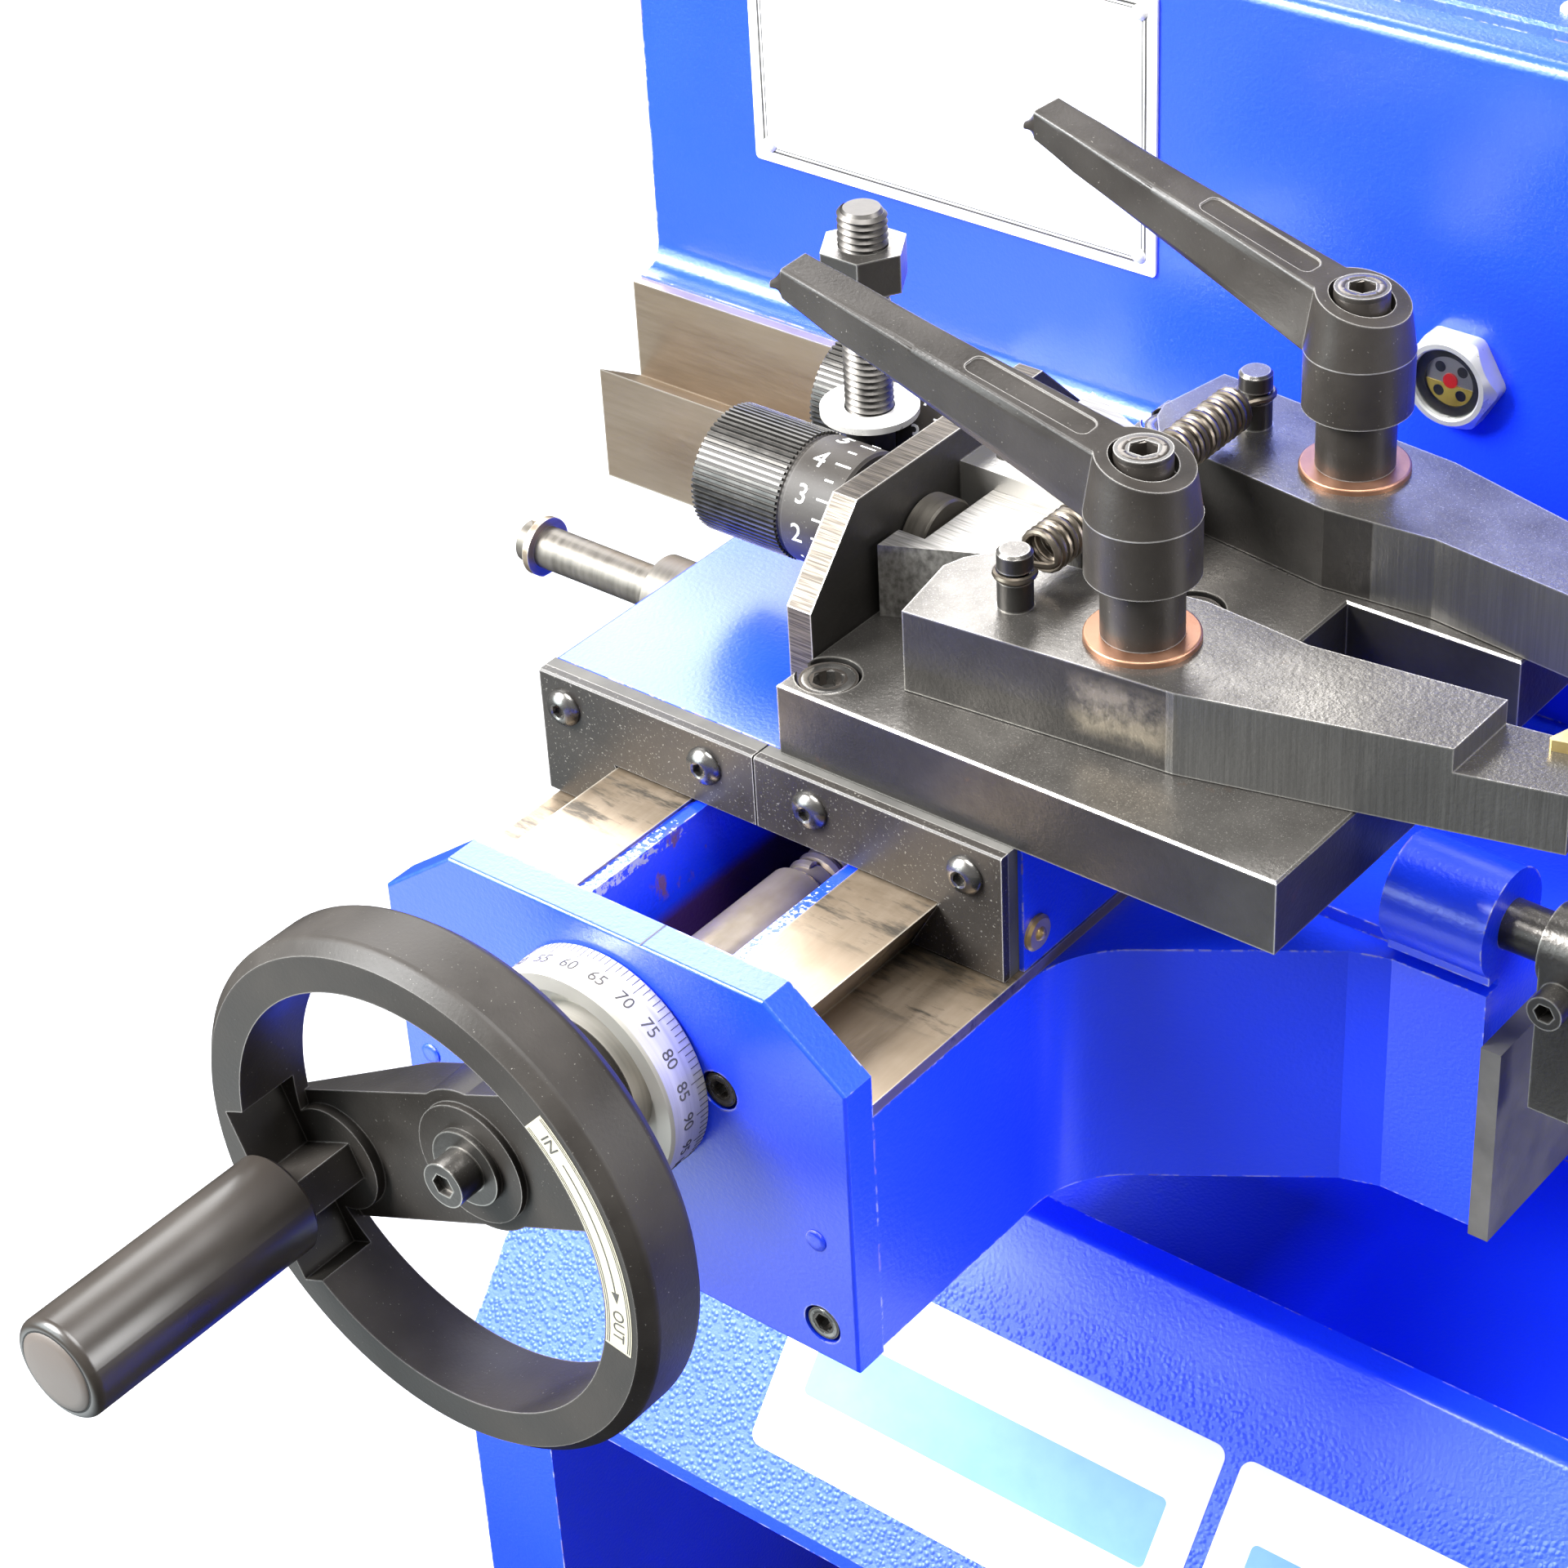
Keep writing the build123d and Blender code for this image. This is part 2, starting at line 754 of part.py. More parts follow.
# Carriage casting: arm for the cross ways, wings over the bed dovetail
slot_front = rail_front - slide_fit
slot_root = way_y - slide_fit
slot_rise = slide_fit / math.cos(math.radians(rail_angle))
with BuildPart() as saddle_arm:
    with BuildSketch(level(arm_bottom)) as plan:
        with BuildLine():
            Polyline(
                (-arm_half, arm_front),
                (arm_half, arm_front),
                (arm_half, wing_start_y),
                wing_knee,
                (wing_shoulder, wing_front),
                (wing_right, wing_front),
                (wing_right, slot_root),
                (wing_left, slot_root),
                (wing_left, wing_front),
                (-arm_half, wing_front),
                close=True,
            )
        make_face()
        fillet(plan.vertices().sort_by_distance((arm_half, wing_start_y))[0], wing_sweep_r)
    extrude(plan.sketch, amount=cast_top - arm_bottom)
    block(arm_half, wing_right, wing_front + wing_step, slot_root, cast_top - 1, flat_z)
    block(wing_left, -arm_half, wing_front, slot_root, cast_top - 1, flat_z)
    block(wing_left, wing_right, ways_back, slot_root, cast_top - 1, jaw_top)
    bar_x(boss_left, wing_right, boss_y, boss_z, boss_r)
    block(boss_left, wing_right, wing_front + 1, boss_y + boss_r, flat_z - 1, boss_z)
    block(wing_left - 1, wing_right + 1, wing_back_wall, jaw_y, arm_bottom - 1, arm_deck_z, Mode.SUBTRACT)
    block(wing_left - 1, -arm_half, wing_back_wall, jaw_y, arm_bottom - 1, deck_z, Mode.SUBTRACT)
    block(arm_half, wing_right + 1, wing_back_wall, jaw_y, arm_bottom - 1, deck_z, Mode.SUBTRACT)
    block(wing_left - 1, wing_right + 1, jaw_y - 1, way_y + 1, arm_bottom - 1, jaw_bottom, Mode.SUBTRACT)
    prism(
        side(wing_left - 1),
        [
            (slot_front, rail_top + slot_rise),
            (slot_front, rail_bottom - slot_rise),
            (way_y, rail_bottom + rail_drop - slot_rise),
            (way_y, rail_top - rail_drop + slot_rise),
        ],
        wing_right - wing_left + 2,
        Mode.SUBTRACT,
    )
    block(-rib_in, rib_in, arm_front - 1, channel_back, channel_z, 0, Mode.SUBTRACT)
    for rib in (-1, 1):
        block(min(rib * rib_in, rib * way_in), max(rib * rib_in, rib * way_in), arm_front, ways_back,
              cast_top, way_top - rib_drop)
    bar_x(boss_left - 1, wing_right + 1, boss_y, boss_z, lever_shaft_r + turn_fit, Mode.SUBTRACT)
    block(wing_left, wing_left + trip_lug_long, trip_y - trip_lug, trip_y + trip_lug,
          trip_z - trip_lug, deck_z + 1)
    bar_x(wing_left, wing_left + trip_lug_long, trip_y, trip_z, trip_r, Mode.SUBTRACT)
save(saddle_arm, "saddle_arm")

way_root = way_out - (way_top - flat_z) * math.tan(math.radians(way_angle))

# Cross ways: two dovetail strips with an outer flat each
with BuildPart() as cross_ways:
    for hand in (-1, 1):
        prism(
            front(ways_back),
            [
                (hand * way_in, cast_top),
                (hand * way_in, way_top),
                (hand * way_out, way_top),
                (hand * way_root, flat_z),
                (hand * arm_half, flat_z),
                (hand * arm_half, cast_top),
            ],
            ways_back - arm_front,
        )
save(cross_ways, "cross_ways")

end_face = arm_front - end_thick

# End plate carrying the cross screw
end_screws = [(h * x, z) for x, z in (end_screw_low, end_screw_high) for h in (-1, 1)]
with BuildPart() as end_plate:
    prism(
        front(arm_front),
        [
            (-arm_half, end_bottom),
            (arm_half, end_bottom),
            (arm_half, end_top - end_chamfer_z),
            (arm_half - end_chamfer_x, end_top),
            (-arm_half + end_chamfer_x, end_top),
            (-arm_half, end_top - end_chamfer_z),
        ],
        end_thick,
    )
    fillet(end_plate.faces().sort_by(Axis.Y)[0].edges(), end_edge)
    bar_y(end_face, arm_front, 0, screw_z, journal_r + turn_fit, Mode.SUBTRACT)
    for x, z in end_screws:
        bar_y(end_face, end_face + bore6_deep, x, z, bore6_r, Mode.SUBTRACT)
        bar_y(end_face, arm_front, x, z, shank6_r, Mode.SUBTRACT)
save(end_plate, "end_plate")

with BuildPart() as end_plate_screws:
    for x, z in end_screws:
        bar_y(end_face + bore6_deep - head6_high, end_face + bore6_deep, x, z, head6_r)
        bar_y(end_face + bore6_deep, arm_front, x, z, shank6_r)
        hexagon(front(end_face + bore6_deep - head6_high / 2), (x, z), head6_r, head6_high, Mode.SUBTRACT)
save(end_plate_screws, "end_plate_screws")

# Wipers on both ends of the carriage: rubber behind a steel plate
with BuildPart() as carriage_wipers:
    for inner_x, outward in ((wing_right, 1), (wing_left, -1)):
        ends = sorted((inner_x, inner_x + outward * carriage_wiper_thick))
        block(ends[0], ends[1], wing_front - 1, carriage_wiper_back, arm_bottom - 2, deck_z)
save(carriage_wipers, "carriage_wipers")

# Bronze feed nut under the right wing
with BuildPart() as feed_nut:
    block(feed_nut_left, feed_nut_left + feed_nut_long, feed_y - bearing_half, feed_y + bearing_half,
          feed_z - bearing_half, deck_z)
    bar_x(feed_nut_left, feed_nut_left + feed_nut_long, feed_y, feed_z, feed_r + turn_fit, Mode.SUBTRACT)
save(feed_nut, "feed_nut")

pin_x = trip_left + pin_from_end
washer_x = pin_x + split_pin_r

# Trip rod with its stop collar, held at the free end by a washer and a split pin
with BuildPart() as trip_rod:
    bar_x(trip_left, wing_left + trip_lug_long, trip_y, trip_z, trip_r)
    bar_x(trip_collar_x, trip_collar_x + trip_collar_long, trip_y, trip_z, trip_collar_r)
    bar_z(trip_z - trip_r, trip_z + trip_r, pin_x, trip_y, split_pin_r, Mode.SUBTRACT)
save(trip_rod, "trip_rod")

with BuildPart() as split_pin:
    bar_z(trip_z - trip_r - split_pin_low, trip_z + trip_r + split_pin_high, pin_x, trip_y, split_pin_r)
    bar_x(washer_x, washer_x + end_washer_thick, trip_y, trip_z, trip_r + end_washer_wide)
    bar_x(washer_x, washer_x + end_washer_thick, trip_y, trip_z, trip_r, Mode.SUBTRACT)
save(split_pin, "split_pin")

dog_mid = (dog_left + dog_right) / 2
dog_face = boss_y - dog_r - dog_screw_out

# Feed lever: shaft through the carriage boss with a clamped dog
with BuildPart() as feed_lever:
    bar_x(boss_left, lever_shaft_end, boss_y, boss_z, lever_shaft_r)
    bar_x(dog_left, dog_right, boss_y, boss_z, dog_r)
    block(dog_left + 1, dog_right - 1, boss_y - dog_r, boss_y - dog_r + dog_finger, dog_foot_z, boss_z)
    bar_y(dog_face, boss_y - dog_r + 1, dog_mid, boss_z - dog_screw_drop, dog_screw_r)
    hexagon(front(dog_face + dog_screw_r), (dog_mid, boss_z - dog_screw_drop), dog_screw_r, dog_screw_out,
            Mode.SUBTRACT)
save(feed_lever, "feed_lever")

# Leadscrew of the cross slide
dial_back = end_face - air
hub_back_y = dial_back - dial_thick
with BuildPart() as leadscrew:
    bar_y(arm_front + air, shank_end, 0, screw_z, shank_r)
    bar_y(shank_end, shank_end + neck_long, 0, screw_z, neck_r)
    bar_y(shank_end + neck_long, thread_end, 0, screw_z, thread_r)
    bar_y(web_front, arm_front + air, 0, screw_z, journal_r)
    chamfer(leadscrew.faces().sort_by(Axis.Y)[-1].edges(), screw_edge)
save(leadscrew, "leadscrew")

# Graduated dial
with BuildPart() as dial:
    bar_y(hub_back_y, dial_back, 0, screw_z, dial_r)
    chamfer(dial.edges().filter_by(GeomType.CIRCLE), dial_edge)
    bar_y(hub_back_y, hub_back_y + dial_dish, 0, screw_z, dial_r - dial_rim, Mode.SUBTRACT)
    bar_y(hub_back_y, hub_back_y + dial_dish, 0, screw_z, hub_back_r)
    bar_y(hub_back_y, dial_back, 0, screw_z, journal_r, Mode.SUBTRACT)
save(dial, "dial")

# Handwheel: rolled rim, two-arm web, slotted boss with the square shank and stem of the handle
wheel_frame = front(0).location * Pos(0, screw_z, 0)
spoke = Plane(wheel_frame * Rot(0, 0, web_angle))
handle_r = -handle_at_r
web_plane = Plane(spoke.origin, x_dir=spoke.x_dir, z_dir=-spoke.y_dir).offset(-web_wide / 2)
web_reach = wheel_in_r + wheel_shoulder / 2
web_outline = [
    (-web_reach, -web_front),
    (-web_reach, -web_front - web_thin),
    (-hub_back_r, -web_front - web_deep),
    (hub_back_r, -web_front - web_deep),
    (web_reach, -web_front - web_thin),
    (web_reach, -web_front),
]
with BuildPart() as handwheel:
    with BuildSketch(Plane(origin=wheel_frame.position)) as rim:
        with BuildLine():
            Polyline(
                (wheel_in_r, wheel_back),
                (wheel_r - wheel_shoulder, wheel_back),
                (wheel_r, wheel_back - wheel_shoulder),
                (wheel_r, wheel_front + wheel_shoulder),
                (wheel_r - wheel_shoulder, wheel_front),
                (wheel_in_r, wheel_front),
                close=True,
            )
        make_face()
        fillet(rim.vertices().group_by(Axis.X)[-1], wheel_round)
    revolve(rim.sketch, axis=Axis(wheel_frame.position, (0, 1, 0)))
    prism(web_plane, web_outline, web_wide)
    bar_y(web_front - hub_front, web_front, 0, screw_z, hub_r)
    bar_y(web_front, hub_back_y, 0, screw_z, hub_back_r)
    with Locations(spoke.location * Pos(handle_r, 0, -web_front)):
        Cylinder(boss_r, web_front - wheel_front, align=on_base)
    with BuildSketch(spoke.offset(-web_front + slot_floor)) as slot:
        with Locations((handle_r + boss_r / 2, 0)):
            Rectangle(boss_r + 2 * shank_in, slot_wide)
    extrude(slot.sketch, amount=web_front - wheel_front, mode=Mode.SUBTRACT)
    with BuildSketch(spoke.offset(-web_front)) as shank:
        with Locations((handle_r + (shank_out - shank_in) / 2, 0)):
            Rectangle(shank_in + shank_out, shank_wide)
    extrude(shank.sketch, amount=web_front - wheel_front + grip_gap - air)
    with Locations(spoke.location * Pos(handle_r, 0, -wheel_front)):
        Cylinder(stem_r, stem_long, align=on_base)
    bar_y(web_front, hub_back_y, 0, screw_z, journal_r, Mode.SUBTRACT)
save(handwheel, "handwheel")

hub_face = web_front - hub_front
with BuildPart() as hub_screw:
    bar_y(hub_face - hub_washer_thick, hub_face, 0, screw_z, hub_washer_r)
    bar_y(hub_face - hub_washer_thick - head8_high, hub_face - hub_washer_thick, 0, screw_z, head8_r)
    hexagon(front(hub_face - head8_high), (0, screw_z), key8, head8_high, Mode.SUBTRACT)
save(hub_screw, "hub_screw")

# Revolving grip on the stem
with BuildPart() as handle_grip:
    with Locations(spoke.location * Pos(handle_r, 0, -wheel_front + grip_gap)):
        Cylinder(grip_r, grip_long, align=on_base)
    fillet(handle_grip.faces().sort_by(Axis.Y)[0].edges(), grip_round)
    chamfer(handle_grip.faces().sort_by(Axis.Y)[-1].edges(), grip_edge)
    with Locations(spoke.location * Pos(handle_r, 0, -wheel_front + grip_gap)):
        Cylinder(stem_r + turn_fit, stem_long - grip_gap + air, align=on_base, mode=Mode.SUBTRACT)
save(handle_grip, "handle_grip")

roof = way_top + slide_fit
skirt = flat_z + slide_fit
gap = slide_fit / math.cos(math.radians(way_angle))
flank = (roof - skirt) * math.tan(math.radians(way_angle))

# Upper saddle with its dovetail slot
with BuildPart() as upper_saddle:
    block(saddle_left, saddle_right, saddle_front, saddle_back, skirt, 0)
    fillet(upper_saddle.edges().filter_by(Axis.Y).group_by(Axis.Z)[-1], saddle_edge)
    prism(
        front(saddle_back + 1),
        [
            (-way_out - gib_wide - 2 * gap, roof),
            (way_out + gap, roof),
            (way_out + gap - flank, skirt),
            (-way_out - gib_wide - 2 * gap + flank, skirt),
        ],
        saddle_back - saddle_front + 2,
        Mode.SUBTRACT,
    )
    bar_z(stud_foot, 0, stud_x, mid_y, stud_r, Mode.SUBTRACT)
save(upper_saddle, "upper_saddle")

with BuildPart() as saddle_gib:
    prism(
        front(saddle_back - gib_short),
        [
            (-way_out - gap, roof - slide_fit),
            (-way_out - gap - gib_wide, roof - slide_fit),
            (-way_out - gap - gib_wide + flank - slide_fit, skirt + slide_fit),
            (-way_out - gap + flank - slide_fit, skirt + slide_fit),
        ],
        saddle_back - saddle_front - 2 * gib_short,
    )
save(saddle_gib, "saddle_gib")

wiper_low = way_top + wiper_air
root_air = wiper_air / math.cos(math.radians(way_angle))
skirt_in = way_root + root_air + slide_fit
left_outline = [
    (saddle_left, -air),
    (wiper_split - air, -air),
    (wiper_split - air, wiper_low),
    (-way_out - root_air, wiper_low),
    (-skirt_in, skirt),
    (saddle_left, skirt),
]
right_outline = [
    (wiper_split + air, -air),
    (saddle_right - wiper_inset, -air),
    (saddle_right - wiper_inset, skirt),
    (skirt_in, skirt),
    (way_out + root_air, wiper_low),
    (wiper_split + air, wiper_low),
]
rubber_front = saddle_front - wiper_rubber

# Wipers at the front of the saddle: rubber strips behind two black plates
with BuildPart() as wiper_rubbers:
    prism(front(saddle_front), left_outline, wiper_rubber)
    prism(front(saddle_front), right_outline, wiper_rubber)
save(wiper_rubbers, "wiper_rubbers")

with BuildPart() as wiper_plates:
    prism(front(rubber_front), left_outline, wiper_plate)
    prism(front(rubber_front), right_outline, wiper_plate)
    chamfer(wiper_plates.faces().sort_by(Axis.Y)[0:2].edges().filter_by(Axis.X), wiper_edge)
save(wiper_plates, "wiper_plates")

with BuildPart() as wiper_screws:
    for x in wiper_screw_x:
        with BuildSketch(front(rubber_front - wiper_plate)) as head:
            with Locations((x, wiper_screw_z)):
                Circle(button_head_r)
        extrude(head.sketch, amount=button_head_h, taper=button_taper)
        hexagon(front(rubber_front - wiper_plate - button_head_h + button_key_deep), (x, wiper_screw_z),
                button_key, button_head_h, Mode.SUBTRACT)
save(wiper_screws, "wiper_screws")

# Brass ball oiler in the saddle's right side
with BuildPart() as ball_oiler:
    bar_x(saddle_right, saddle_right + oiler_high, oiler_y, oiler_z, oiler_r)
    chamfer(ball_oiler.faces().sort_by(Axis.X)[-1].edges(), oiler_edge)
    with Locations(side(saddle_right + oiler_high - oiler_edge).location * Pos(oiler_y, oiler_z, 0)):
        Sphere(oiler_ball_r)
    block(saddle_right - oiler_r, saddle_right, oiler_y - oiler_r, oiler_y + oiler_r, oiler_z - oiler_r,
          oiler_z + oiler_r, Mode.SUBTRACT)
save(ball_oiler, "ball_oiler")

# Bronze nut of the cross screw
with BuildPart() as cross_nut:
    block(-nut_half, nut_half, nut_front, nut_back, screw_z - thread_r - nut_below, roof)
    bar_y(nut_front, nut_back, 0, screw_z, thread_r + turn_fit, Mode.SUBTRACT)
save(cross_nut, "cross_nut")

# Tool plate with the disc slot
plate_screws = [
    (plate_screw_x, plate_screw_y),
    (plate_screw_x, plate_wide - plate_screw_y),
    (plate_screw_far_x, mid_y),
]
with BuildPart() as tool_plate:
    block(0, plate_long, 0, plate_wide, 0, plate_thick)
    block(plate_long - slot_deep, plate_long + 1, mid_y - slot_wide / 2, mid_y + slot_wide / 2,
          -1, plate_thick + 1, Mode.SUBTRACT)
    chamfer(tool_plate.faces().sort_by(Axis.Z)[-1].edges(), plate_edge)
    for x, y in plate_screws:
        bar_z(plate_thick - bore10_deep, plate_thick, x, y, bore10_r, Mode.SUBTRACT)
    for hand in (-1, 1):
        bar_z(0, plate_thick, pivot_x, mid_y + hand * pivot_from_mid, pivot_r, Mode.SUBTRACT)
save(tool_plate, "tool_plate")

with BuildPart() as tool_plate_screws:
    for x, y in plate_screws:
        bar_z(plate_thick - bore10_deep, plate_thick - bore10_deep + head10_high, x, y, head10_r)
        hexagon(level(plate_thick - bore10_deep + head10_high - key10_deep), (x, y), key10, key10_deep,
                Mode.SUBTRACT)
save(tool_plate_screws, "tool_plate_screws")

# Clamp stud with its nut and loose washer
with BuildPart() as clamp_stud:
    bar_z(stud_foot, stud_top, stud_x, mid_y, stud_r)
    chamfer(clamp_stud.faces().sort_by(Axis.Z)[-1].edges(), stud_edge)
save(clamp_stud, "clamp_stud")

with BuildPart() as stud_nut:
    hexagon(level(nut_low), (stud_x, mid_y), nut_hex, nut_high)
    bar_z(nut_low, nut_low + nut_high, stud_x, mid_y, stud_r, Mode.SUBTRACT)
save(stud_nut, "stud_nut")

with BuildPart() as stud_washer:
    bar_z(washer_z, washer_z + washer_thick, stud_x, mid_y, washer_r)
    bar_z(washer_z, washer_z + washer_thick, stud_x, mid_y, stud_r + washer_loose, Mode.SUBTRACT)
save(stud_washer, "stud_washer")

# Bracket for the two knobs, with the block that guides the wedges
with BuildPart() as knob_bracket:
    prism(
        side(-bracket_thick),
        [
            (bracket_end, air),
            (plate_wide - bracket_end, air),
            (plate_wide - bracket_end, bracket_top - bracket_rear_drop),
            (plate_wide - bracket_rear_in, bracket_top),
            (bracket_end + bracket_chamfer_y, bracket_top),
            (bracket_end, bracket_top - bracket_chamfer_z),
        ],
        bracket_thick,
    )
    block(0, block_long, mid_y - block_half, mid_y + block_half, plate_thick, block_top)
    for hand in (-1, 1):
        bar_x(-bracket_thick, 0, mid_y + hand * knob_from_mid, knob_z, knob_screw_r + turn_fit, Mode.SUBTRACT)
    bar_z(block_top - block_screw_deep, block_top, block_screw_x, mid_y, block_screw_r, Mode.SUBTRACT)
save(knob_bracket, "knob_bracket")

# Pivot studs of the two tool arms
with BuildPart() as pivot_studs:
    for hand in (-1, 1):
        bar_z(0, lever_part_z + stud_in_hub, pivot_x, mid_y + hand * pivot_from_mid, pivot_r)
save(pivot_studs, "pivot_studs")

arm_low = plate_thick + air
wedge_start_y = mid_y - wedge_start_in
wedge_face_in = wedge_start_in - wedge_slope * (nose_x - wedge_left)
arm_corners = [
    arm_tail,
    arm_knee,
    (ledge_x, ledge_in),
    arm_tip,
    arm_tip_in,
    arm_neck,
    arm_waist,
    arm_swell,
    (nose_x, wedge_face_in + air),
    arm_cheek,
    arm_corner,
]
arm_outline = [(x, mid_y - in_from_mid) for x, in_from_mid in arm_corners]
wedge_outline = [
    (wedge_left, wedge_start_y),
    (wedge_right, wedge_start_y + wedge_slope * (wedge_right - wedge_left)),
    (wedge_right, mid_y - block_half - slide_fit),
    (collar_long + wedge_room, mid_y - block_half - slide_fit),
    (collar_long + wedge_room, mid_y - knob_from_mid - collar_r - collar_room),
    (wedge_left, mid_y - knob_from_mid - collar_r - collar_room),
]
mirror_plane = front(mid_y)

# Tool arms with their spring posts, front one built and rear one mirrored
with BuildPart() as front_arm:
    prism(level(arm_low), arm_outline, arm_top - arm_low)
    block(ledge_x, arm_tip[0] + 1, arm_outline[0][1], mid_y, ledge_top, arm_top + 1, Mode.SUBTRACT)
    post_y = mid_y - post_from_mid
    bar_z(arm_top, post_top, post_x, post_y, post_r)
    chamfer(front_arm.faces().sort_by(Axis.Z)[-1].edges(), post_edge)
    with Locations(level(groove_z).location * Pos(post_x, post_y, 0)):
        Cylinder(post_r + 1, 2 * groove_half, mode=Mode.SUBTRACT)
        Cylinder(groove_r, 2 * groove_half)
    bar_z(arm_low, arm_top, pivot_x, mid_y - pivot_from_mid, pivot_r + turn_fit, Mode.SUBTRACT)
save(front_arm, "front_arm")

with BuildPart() as rear_arm:
    mirror(front_arm.part, about=mirror_plane)
save(rear_arm, "rear_arm")

# Triangular cutting inserts on the arm tips
insert_outline = [(x, mid_y - in_from_mid) for x, in_from_mid in insert_points]
with BuildPart() as front_insert:
    prism(level(ledge_top), insert_outline, insert_thick)
    fillet(front_insert.edges().filter_by(Axis.Z), insert_round)
    insert_x = sum(x for x, y in insert_outline) / len(insert_outline)
    insert_y = sum(y for x, y in insert_outline) / len(insert_outline)
    bar_z(ledge_top, ledge_top + insert_thick, insert_x, insert_y, insert_hole_r, Mode.SUBTRACT)
save(front_insert, "front_insert")

with BuildPart() as rear_insert:
    mirror(front_insert.part, about=mirror_plane)
save(rear_insert, "rear_insert")

# Copper washers under the clamp levers
with BuildPart() as front_washer:
    bar_z(arm_top, arm_top + copper_thick, pivot_x, mid_y - pivot_from_mid, copper_r)
    bar_z(arm_top, arm_top + copper_thick, pivot_x, mid_y - pivot_from_mid, pivot_r + copper_loose,
          Mode.SUBTRACT)
    fillet(front_washer.faces().sort_by(Axis.Z)[-1].edges().sort_by(SortBy.RADIUS)[-1], copper_round)
save(front_washer, "front_washer")

with BuildPart() as rear_washer:
    mirror(front_washer.part, about=mirror_plane)
save(rear_washer, "rear_washer")

spacer_low = arm_top + copper_thick + slide_fit
lever_sections = [
    (lever_root, lever_root_low, 0, lever_root_wide),
    (lever_bend, lever_bend_low, 0, lever_bend_wide),
    (lever_far, lever_far_low, 0, lever_far_wide),
    (lever_tip, lever_tip_low, lever_tip_drop, lever_tip_wide),
]
hub_cut = 2 * lever_hub_r

# Clamp levers: spacer, tapered hub cut on the slope of the arm, and a rising arm that points to the left
for lever_name, hand, turn in (("front_lever", -1, front_lever_angle), ("rear_lever", 1, rear_lever_angle)):
    hub_at = level(0).location * Pos(pivot_x, mid_y + hand * pivot_from_mid, 0)
    along = Plane(hub_at * Rot(0, 0, turn))
    upright = Plane(along.origin, x_dir=along.x_dir, z_dir=-along.y_dir)
    pad_mid = (pad_start + pad_end) / 2
    pad_at = upright.from_local_coords((pad_mid, lever_top + lever_rise * pad_mid, 0))
    slope = upright.from_local_coords((1, lever_rise, 0)) - upright.origin
    slope_up = upright.from_local_coords((-lever_rise, 1, 0)) - upright.origin
    with BuildPart() as lever:
        with Locations(hub_at * Pos(0, 0, spacer_low)):
            Cylinder(spacer_r2, spacer_top - spacer_low, align=on_base)
        with Locations(hub_at * Pos(0, 0, spacer_top)):
            Cylinder(lever_hub_r, lever_part_z - spacer_top, align=on_base)
        with Locations(hub_at * Pos(0, 0, lever_part_z)):
            Cone(lever_hub_r, lever_peak_r, lever_peak - lever_part_z, align=on_base)
        prism(
            upright.offset(-hub_cut),
            [
                (-hub_cut, lever_top - lever_rise * hub_cut),
                (hub_cut, lever_top + lever_rise * hub_cut),
                (hub_cut, lever_top + hub_cut),
                (-hub_cut, lever_top + hub_cut),
            ],
            2 * hub_cut,
            Mode.SUBTRACT,
        )
        slices = []
        for reach, low, drop, wide in lever_sections:
            high = lever_top + lever_rise * reach - drop
            centre = along.from_local_coords((reach, 0, (low + high) / 2))
            with BuildSketch(Plane(origin=centre, x_dir=along.y_dir, z_dir=along.x_dir)) as cross:
                RectangleRounded(wide, high - low, lever_round)
            slices.append(cross.sketch)
        loft(slices, ruled=True)
        with BuildSketch(Plane(pad_at, x_dir=slope, z_dir=slope_up)) as pad:
            RectangleRounded(pad_end - pad_start, pad_wide, pad_round)
        extrude(pad.sketch, amount=-pad_deep, mode=Mode.SUBTRACT)
        with Locations(along.location * Pos(nub_at, 0, nub_z)):
            Cylinder(nub_r, nub_wide, rotation=(90, 0, 0))
        with Locations(hub_at * Pos(0, 0, lever_top - lever_cup_deep)):
            Cylinder(lever_cup_r, 2 * lever_cup_deep, align=on_base, mode=Mode.SUBTRACT)
            Cylinder(lever_head_r, lever_head_high, align=on_base)
        hexagon(Plane(hub_at).offset(lever_top - lever_cup_deep + lever_head_high - lever_key_deep), (0, 0),
                lever_key, lever_key_deep, Mode.SUBTRACT)
        with Locations(hub_at * Pos(0, 0, spacer_low)):
            Cylinder(pivot_r + turn_fit, lever_part_z + stud_in_hub + air - spacer_low, align=on_base,
                     mode=Mode.SUBTRACT)
    save(lever, lever_name)

# Wedges that spread the arms
with BuildPart() as front_wedge:
    prism(level(plate_thick + slide_fit), wedge_outline, wedge_top - plate_thick - slide_fit)
    bar_x(wedge_left, wedge_right - wedge_cap, mid_y - knob_from_mid, knob_z, knob_screw_r + turn_fit,
          Mode.SUBTRACT)
save(front_wedge, "front_wedge")

with BuildPart() as rear_wedge:
    mirror(front_wedge.part, about=mirror_plane)
save(rear_wedge, "rear_wedge")

# Graduated knobs with their screws
with BuildPart() as front_knob:
    knob_y = mid_y - knob_from_mid
    bar_x(knob_left, ring_left, knob_y, knob_z, knob_r)
    chamfer(front_knob.edges().filter_by(GeomType.CIRCLE), knob_edge)
    bar_x(ring_left, ring_right, knob_y, knob_z, ring_r)
    bar_x(ring_right, -bracket_thick - air, knob_y, knob_z, sleeve_r)
    bar_x(-bracket_thick - air, wedge_right - wedge_cap - knob_screw_short, knob_y, knob_z, knob_screw_r)
    bar_x(air, collar_long, knob_y, knob_z, collar_r)
save(front_knob, "front_knob")

with BuildPart() as rear_knob:
    mirror(front_knob.part, about=mirror_plane)
save(rear_knob, "rear_knob")

